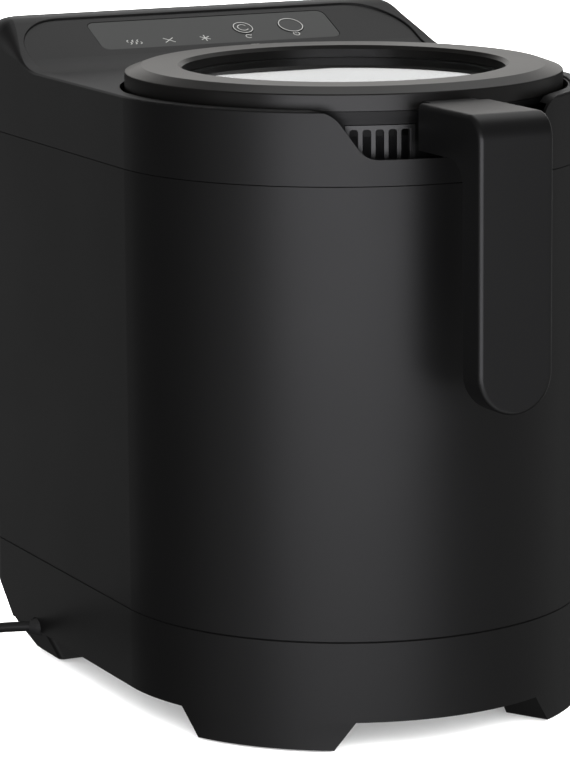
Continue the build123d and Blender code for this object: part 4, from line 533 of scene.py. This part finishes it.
@dataclass
class Studio:
    """A pale light table, a dim surround that the camera sees as white, and the lights.

    Args:
        floor_half: Half the table's side.
        floor_colour: Its linear colour.
        floor_roughness: Its roughness.
        floor_specular: Its specular level.
        floor_glow: Its own light, which keeps contact shadows light.
        world_light: Strength of the surround.
        overhead: Strength of the even light from above.
        overhead_spread: Its apparent width in degrees.
        table_lights: Strengths of the lights that light the table alone. They stand all around it, from
            the front by the right.
        table_elevation: Their height over the horizon in degrees.
        table_spread: Their apparent width in degrees.
        panels: The soft panels.
    """

    floor_half: float = 7.0
    floor_colour: tuple[float, float, float] = (0.70, 0.70, 0.70)
    floor_roughness: float = 0.9
    floor_specular: float = 0.1
    floor_glow: float = 0.25
    world_light: float = 0.061
    overhead: float = 3.3
    overhead_spread: float = 75.0
    table_lights: tuple[float, ...] = (5.0, 4.5, 4.0, 4.0, 4.0, 2.0, 0.6, 2.2)
    table_elevation: float = 28.0
    table_spread: float = 48.0
    panels: tuple[Panel, ...] = (
        Panel("key_front", 25.0, 0.6, 1.6, (2.3, 0.80), 15.4, tint=(0.99, 0.985, 1.03)),
        Panel("fill_right", -70.0, -3.0, 2.0, (3.0, 1.5), 2.9, diffuse=False),
        Panel("rim_right", -140.0, -5.0, 2.2, (1.1, 1.3), 5.0, diffuse=False,
              receivers=("handle_shell", "main_housing", "base_skirt", "filter_cover")),
        Panel("back_wall", 204.0, -6.0, 2.4, (1.3, 1.3), 7.0, diffuse=False,
              receivers=("main_housing", "base_skirt", "filter_cover", "top_housing")),
        Panel("side_left", 167.0, -8.0, 2.2, (0.7, 1.2), 0.8, diffuse=False,
              receivers=("main_housing", "base_skirt", "top_housing")),
        Panel("side_soft", 82.0, -8.0, 2.2, (1.0, 1.6), 1.3, diffuse=False),
        Panel("front_high", 0.0, 22.0, 3.0, (3.2, 1.0), 4.0, diffuse=False,
              receivers=("lid_ring", "lid_glass", "top_housing", "control_overlay")),
        Panel("top_back", 225.0, 53.0, 2.6, (2.0, 2.0), 8.4),
        Panel("lip_light", 274.0, 66.0, 2.6, (1.6, 1.6), 4.0, diffuse=False, receivers=("top_housing",)),
        Panel("table_front", 5.0, -44.0, 1.9, (3.0, 0.8), 5.2, diffuse=False),
        Panel("table_back", 225.0, -43.0, 1.9, (2.6, 0.8), 4.0, diffuse=False,
              receivers=("main_housing", "base_skirt", "top_housing", "filter_cover")),
        Panel("back_low", 206.0, 14.0, 3.2, (2.4, 1.1), 7.5, tint=(1.0, 0.98, 0.95),
              receivers=("lid_ring", "handle_shell")),
        Panel("back_deck", 184.0, 19.0, 3.2, (4.2, 1.4), 9.0, diffuse=False,
              receivers=("top_housing", "control_overlay", "power_key", "reset_key")),
        Panel("glass_card", 206.0, 14.0, 3.2, (3.4, 1.4), 16.0, receivers=("lid_glass",)),
    )

    def build(self) -> None:
        """Make the whole studio."""
        bpy.context.scene.view_settings.view_transform = "Standard"
        floor = self._floor()
        self._surround()
        self._sun("overhead", self.overhead, self.overhead_spread).visible_glossy = False
        self._light_table(floor)
        for panel in self.panels:
            panel.build()
            log.info("light %s", panel.name)

    def _floor(self) -> bpy.types.Object:
        """Make the table, which the camera alone sees.

        Returns:
            The table's object.
        """
        mesh = bpy.data.meshes.new("studio_floor")
        form = bmesh.new()
        bmesh.ops.create_grid(form, x_segments=1, y_segments=1, size=self.floor_half)
        form.to_mesh(mesh)
        form.free()
        floor = bpy.data.objects.new("studio_floor", mesh)
        bpy.context.scene.collection.objects.link(floor)
        material = bpy.data.materials.new("pale_floor")
        material.use_nodes = True
        shader = material.node_tree.nodes["Principled BSDF"]
        shader.inputs["Base Color"].default_value = (*self.floor_colour, 1.0)
        shader.inputs["Roughness"].default_value = self.floor_roughness
        shader.inputs["Specular IOR Level"].default_value = self.floor_specular
        shader.inputs["Emission Color"].default_value = WHITE
        shader.inputs["Emission Strength"].default_value = self.floor_glow
        mesh.materials.append(material)
        floor.visible_glossy = False
        floor.visible_diffuse = False
        floor.visible_shadow = False
        return floor

    def _surround(self) -> None:
        """Make the surround, white for the camera and dim for everything else."""
        world = bpy.data.worlds.new("pale_studio")
        world.use_nodes = True
        tree = world.node_tree
        seen = tree.nodes["Background"]
        seen.inputs["Color"].default_value = WHITE
        seen.inputs["Strength"].default_value = 1.0
        soft = tree.nodes.new("ShaderNodeBackground")
        soft.inputs["Color"].default_value = WHITE
        soft.inputs["Strength"].default_value = self.world_light
        path = tree.nodes.new("ShaderNodeLightPath")
        mix = tree.nodes.new("ShaderNodeMixShader")
        tree.links.new(path.outputs["Is Camera Ray"], mix.inputs["Fac"])
        tree.links.new(soft.outputs["Background"], mix.inputs[1])
        tree.links.new(seen.outputs["Background"], mix.inputs[2])
        tree.links.new(mix.outputs["Shader"], tree.nodes["World Output"].inputs["Surface"])
        bpy.context.scene.world = world

    def _sun(self, name: str, strength: float, spread: float) -> bpy.types.Object:
        """Make a broad even light that shines straight down.

        Args:
            name: Its name.
            strength: Its strength.
            spread: Its apparent width in degrees.

        Returns:
            The light's object.
        """
        data = bpy.data.lights.new(name, "SUN")
        data.energy = strength
        data.angle = math.radians(spread)
        sun = bpy.data.objects.new(name, data)
        bpy.context.scene.collection.objects.link(sun)
        return sun

    def _light_table(self, floor: bpy.types.Object) -> None:
        """Light the table alone, from all around.

        Args:
            floor: The table.
        """
        table = bpy.data.collections.new("table_receivers")
        table.objects.link(floor)
        lean = math.radians(90.0 - self.table_elevation)
        for n, strength in enumerate(self.table_lights):
            sun = self._sun(f"table_light_{n}", strength, self.table_spread)
            sun.rotation_euler = (lean, 0.0, 2.0 * math.pi * n / len(self.table_lights))
            sun.light_linking.receiver_collection = table


# ---------------------------------------------------------------- mains lead
@dataclass
class MainsLead:
    """The mains lead: out of the skirt, down to the floor, and put away in a coil beside the machine.

    Its sizes are millimetres, and its points are control points about the bucket's axis.

    Args:
        axis_y: Where the bucket's axis stands in the frame.
        radius: Half the lead's thickness.
        rest: Height of its middle where it lies on the floor.
        start: Where it leaves the skirt.
        route: Its points from there to the coil.
        coil_centre: Middle of the coil.
        coil_start: Angle at which the coil begins, in degrees.
        outer: Radius of the outermost turn.
        pitch: How much the radius changes with each turn.
        lower_turns: Turns of the layer on the floor.
        rise_turns: Turns in which it climbs to the layer above.
        all_turns: Turns of both layers.
        upper_rise: Height of the upper layer over the lower.
        plug_route: Its points from the coil to the plug.
        points_per_turn: Control points of each turn.
        smoothness: Steps of its roundness and of its line between two points.
    """

    axis_y: float = -12.1
    radius: float = 3.0
    rest: float = 3.05
    start: tuple[float, float, float] = (-132.6, 139.03, 18.2)
    route: tuple[tuple[float, float, float], ...] = (
        (-147.5, 150.6, 16.9), (-163.0, 163.5, 12.2), (-180.0, 177.5, 6.0), (-200.0, 190.0, 3.05))
    coil_centre: tuple[float, float] = (-207.0, 146.0)
    coil_start: float = 115.9
    outer: float = 39.0
    pitch: float = 6.1
    lower_turns: float = 2.1
    rise_turns: float = 0.3
    all_turns: float = 4.178
    upper_rise: float = 5.6
    plug_route: tuple[tuple[float, float, float], ...] = (
        (-245.5, 130.0, 7.4), (-247.0, 114.0, 5.6), (-249.0, 99.0, 5.6))
    points_per_turn: int = 14
    smoothness: int = 4

    def coil_points(self) -> list[tuple[float, float, float]]:
        """Lay the coil's turns: a layer wound inwards and a layer wound outwards on top of it.

        Returns:
            The turns' control points.
        """
        points = []
        inner = self.outer - self.pitch * self.lower_turns
        top = self.lower_turns + self.rise_turns
        count = round(self.all_turns * self.points_per_turn)
        for n in range(count + 1):
            turn = self.all_turns * n / count
            climb = min(max((turn - self.lower_turns) / self.rise_turns, 0.0), 1.0)
            eased = climb * climb * (3.0 - 2.0 * climb)
            radius = self.outer - self.pitch * turn if turn < self.lower_turns else inner
            radius += max(turn - top, 0.0) * self.pitch
            angle = math.radians(self.coil_start + 360.0 * turn)
            points.append((self.coil_centre[0] + radius * math.cos(angle),
                           self.coil_centre[1] + radius * math.sin(angle),
                           self.rest + self.upper_rise * eased))
        return points

    def build(self, wardrobe: Wardrobe) -> None:
        """Args:
            wardrobe: Gives the sheath's material.
        """
        points = [self.start, *self.route, *self.coil_points(), *self.plug_route]
        curve = bpy.data.curves.new("mains_lead", "CURVE")
        curve.dimensions = "3D"
        curve.bevel_depth = self.radius * MM
        curve.bevel_resolution = self.smoothness
        curve.use_fill_caps = True
        spline = curve.splines.new("NURBS")
        spline.points.add(len(points) - 1)
        for place, (x, y, z) in zip(spline.points, points):
            place.co = (x * MM, (y + self.axis_y) * MM, z * MM, 1.0)
        spline.order_u = 3
        spline.use_endpoint_u = True
        spline.resolution_u = self.smoothness
        lead = bpy.data.objects.new("mains_lead", curve)
        bpy.context.scene.collection.objects.link(lead)
        wardrobe.dress(lead, CORD)
        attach(lead, "casing")
        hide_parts("mains_cord", "cord_coil", "plug_lead")
        log.info("piece mains_lead on casing")


# ---------------------------------------------------------------- printed marks
@dataclass
class PrintedMarks:
    """Thin printed marks on the sloping control panel and on its two keys.

    Places are measured across and up the panel from its middle.

    Args:
        slope: Degrees that the panel leans back.
        sheet: Thickness of the panel.
        ink: Thickness of the print.
        line: Width of a printed stroke.
        key_lift: Height of the keys' tops over the panel.
        arc_step: Degrees between two corners of an arc.
        least_steps: The fewest steps of an arc.
        weld: Distance at which two corners are merged.
        power_x: Middle of the power key.
        power_ring: Radius of its ring.
        reset_x: Middle of the reset key.
        reset_ring: Radius of its ring.
        inner_ring: Radius of the open ring inside that.
        inner_arc: Where the open ring begins and how far it goes, in degrees.
        label_drop: Height of the signs below the keys.
        stage_xs: Middles of the three stage signs.
        stage_drop: Their height.
        sign: Size that all the signs follow.
        power_radius: Radius of the power sign.
        power_arc: Where its arc begins and how far it goes, in degrees.
        power_stroke: Length of its upright stroke.
        power_stroke_up: Height of that stroke's middle in the sign.
        arrow_radius: Radius of the arrow that goes round.
        arrow_arc: Where its arc begins and how far it goes, in degrees.
        arrow_head: Length of its head.
        arrow_head_at: Place of its head in the sign.
        arrow_head_angle: Direction of its head in degrees.
        wave_pitch: Distance between two of the three warmth waves.
        wave_radius: Radius of a wave's two bends.
        wave_low: Height of the lower bend in the sign.
        wave_high: Height of the upper bend.
        wave_arc: Degrees that a bend turns.
        blade: Length of a crossed blade.
        blade_angle: Its slope in degrees.
        star: Length of the frost star's strokes.
        star_turn: Direction of the first stroke in degrees.
        star_strokes: Number of strokes.
    """

    slope: float = 25.0
    sheet: float = 1.0 * MM
    ink: float = 0.05 * MM
    line: float = 0.5 * MM
    key_lift: float = 0.45 * MM
    arc_step: float = 7.5
    least_steps: int = 8
    weld: float = 1e-7
    power_x: float = 48.5 * MM
    power_ring: float = 7.2 * MM
    reset_x: float = 17.8 * MM
    reset_ring: float = 5.7 * MM
    inner_ring: float = 0.55 * reset_ring
    inner_arc: tuple[float, float] = (40.0, 285.0)
    label_drop: float = -9.2 * MM
    stage_xs: tuple[float, float, float] = (-54.0 * MM, -32.3 * MM, -9.6 * MM)
    stage_drop: float = -8.4 * MM
    sign: float = 2.7 * MM
    power_radius: float = 0.68 * sign
    power_arc: tuple[float, float] = (120.0, 300.0)
    power_stroke: float = 0.8 * sign
    power_stroke_up: float = 0.55 * sign
    arrow_radius: float = 0.64 * sign
    arrow_arc: tuple[float, float] = (20.0, 290.0)
    arrow_head: float = 0.55 * sign
    arrow_head_at: tuple[float, float] = (0.68 * sign, 0.42 * sign)
    arrow_head_angle: float = 60.0
    wave_pitch: float = 1.15 * sign
    wave_radius: float = 0.42 * sign
    wave_low: float = -0.85 * wave_radius
    wave_high: float = 0.95 * wave_radius
    wave_arc: float = 150.0
    blade: float = 2.9 * sign
    blade_angle: float = 38.0
    star: float = 2.4 * sign
    star_turn: float = 30.0
    star_strokes: int = 3

    def panel_matrix(self) -> Matrix:
        """Find where the panel's top face is.

        Returns:
            The transform from that face to the machine.
        """
        low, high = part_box("control_overlay")
        centre = (Vector(low) + Vector(high)) / 2
        slope = math.radians(self.slope)
        normal = Vector((0.0, -math.sin(slope), math.cos(slope)))
        along = Vector((0.0, math.cos(slope), math.sin(slope)))
        turn = Matrix((Vector((1.0, 0.0, 0.0)), along, normal)).transposed().to_4x4()
        return Matrix.Translation(centre + normal * (self.sheet / 2)) @ turn

    def arc(self, form: bmesh.types.BMesh, centre: tuple[float, float], radius: float, lift: float,
            begin: float = 0.0, sweep: float = 360.0) -> None:
        """Add a flat ring or part of one.

        Args:
            form: The mesh that takes it.
            centre: Its centre on the panel.
            radius: Radius of its middle line.
            lift: Height of its underside over the panel.
            begin: Angle where it starts, in degrees.
            sweep: Degrees that it covers.
        """
        half = self.line / 2
        turn = Matrix.Translation((*centre, 0.0)) @ Matrix.Rotation(math.radians(begin), 4, "Z")
        corners = [form.verts.new(turn @ Vector((radius + u, 0.0, lift + w)))
                   for u, w in ((-half, 0.0), (half, 0.0), (half, self.ink), (-half, self.ink))]
        closed = sweep >= 360.0
        geometry = [form.edges.new((a, b)) for a, b in zip(corners, corners[1:] + corners[:1])]
        geometry += corners
        if not closed:
            geometry.append(form.faces.new(corners))
        steps = max(self.least_steps, round(sweep / self.arc_step))
        bmesh.ops.spin(form, geom=geometry, cent=(*centre, 0.0), axis=(0.0, 0.0, 1.0),
                       angle=math.radians(sweep), steps=steps, use_merge=closed)

    def bar(self, form: bmesh.types.BMesh, centre: tuple[float, float], length: float,
            angle: float) -> None:
        """Add a straight printed stroke on the panel.

        Args:
            form: The mesh that takes it.
            centre: Its middle on the panel.
            length: Its length.
            angle: Its direction in degrees.
        """
        turn = Matrix.Rotation(math.radians(angle), 4, "Z")
        place = Matrix.Translation((*centre, self.ink / 2)) @ turn
        size = Matrix.Diagonal((length, self.line, self.ink, 1.0))
        bmesh.ops.create_cube(form, size=1.0, matrix=place @ size)

    def piece(self, name: str, body: str, draw: Callable[[bmesh.types.BMesh], None],
              wardrobe: Wardrobe) -> None:
        """Make one printed piece.

        Args:
            name: Its name.
            body: The body that it rides on.
            draw: Adds its strokes to a mesh in the panel's own plane.
            wardrobe: Gives the ink.
        """
        form = bmesh.new()
        draw(form)
        bmesh.ops.remove_doubles(form, verts=form.verts, dist=self.weld)
        bmesh.ops.transform(form, matrix=self.panel_matrix(), verts=form.verts)
        bmesh.ops.recalc_face_normals(form, faces=form.faces)
        mesh = bpy.data.meshes.new(name)
        form.to_mesh(mesh)
        form.free()
        made = bpy.data.objects.new(name, mesh)
        bpy.context.scene.collection.objects.link(made)
        wardrobe.dress(made, INK)
        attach(made, body)
        log.info("piece %s on %s", name, body)

    def power_mark(self, form: bmesh.types.BMesh) -> None:
        """Draw the ring around the edge of the power key."""
        self.arc(form, (self.power_x, 0.0), self.power_ring, self.key_lift)

    def reset_mark(self, form: bmesh.types.BMesh) -> None:
        """Draw the ring around the edge of the reset key, and an open ring inside it."""
        self.arc(form, (self.reset_x, 0.0), self.reset_ring, self.key_lift)
        self.arc(form, (self.reset_x, 0.0), self.inner_ring, self.key_lift, *self.inner_arc)

    def power_label(self, form: bmesh.types.BMesh) -> None:
        """Draw the small power sign below the power key."""
        self.arc(form, (self.power_x, self.label_drop), self.power_radius, 0.0, *self.power_arc)
        self.bar(form, (self.power_x, self.label_drop + self.power_stroke_up), self.power_stroke, 90.0)

    def reset_label(self, form: bmesh.types.BMesh) -> None:
        """Draw the small arrow that goes round, below the reset key.

        Args:
            form: The mesh that takes it.
        """
        self.arc(form, (self.reset_x, self.label_drop), self.arrow_radius, 0.0, *self.arrow_arc)
        head = (self.reset_x + self.arrow_head_at[0], self.label_drop + self.arrow_head_at[1])
        self.bar(form, head, self.arrow_head, self.arrow_head_angle)

    def stage_marks(self, form: bmesh.types.BMesh) -> None:
        """Draw the three stage signs: rising warmth, crossed blades and a frost star.

        Args:
            form: The mesh that takes them.
        """
        dry, grind, cool = ((x, self.stage_drop) for x in self.stage_xs)
        for n in (-1, 0, 1):
            x = dry[0] + n * self.wave_pitch
            self.arc(form, (x, dry[1] + self.wave_low), self.wave_radius, 0.0, -90.0, self.wave_arc)
            self.arc(form, (x, dry[1] + self.wave_high), self.wave_radius, 0.0, 90.0, self.wave_arc)
        for angle in (-self.blade_angle, self.blade_angle):
            self.bar(form, grind, self.blade, angle)
        for n in range(self.star_strokes):
            self.bar(form, cool, self.star, self.star_turn + 180.0 * n / self.star_strokes)

    def build(self, wardrobe: Wardrobe) -> None:
        """Make every printed mark.

        Args:
            wardrobe: Gives the ink.
        """
        self.piece("power_key_ring", "power_button", self.power_mark, wardrobe)
        self.piece("reset_key_rings", "reset_button", self.reset_mark, wardrobe)
        self.piece("power_sign", "casing", self.power_label, wardrobe)
        self.piece("reset_sign", "casing", self.reset_label, wardrobe)
        self.piece("stage_signs", "casing", self.stage_marks, wardrobe)


# ---------------------------------------------------------------- order of making
def main() -> None:
    """Build the camera and lead first, then the studio, the finishes and the printed marks."""
    logging.basicConfig(level=logging.INFO, format="%(name)s: %(message)s")
    wardrobe = Wardrobe()
    StudioCamera().build()
    MainsLead().build(wardrobe)
    Studio().build()
    wardrobe.dress_nodes()
    PrintedMarks().build(wardrobe)


if __name__ == "__main__":
    main()
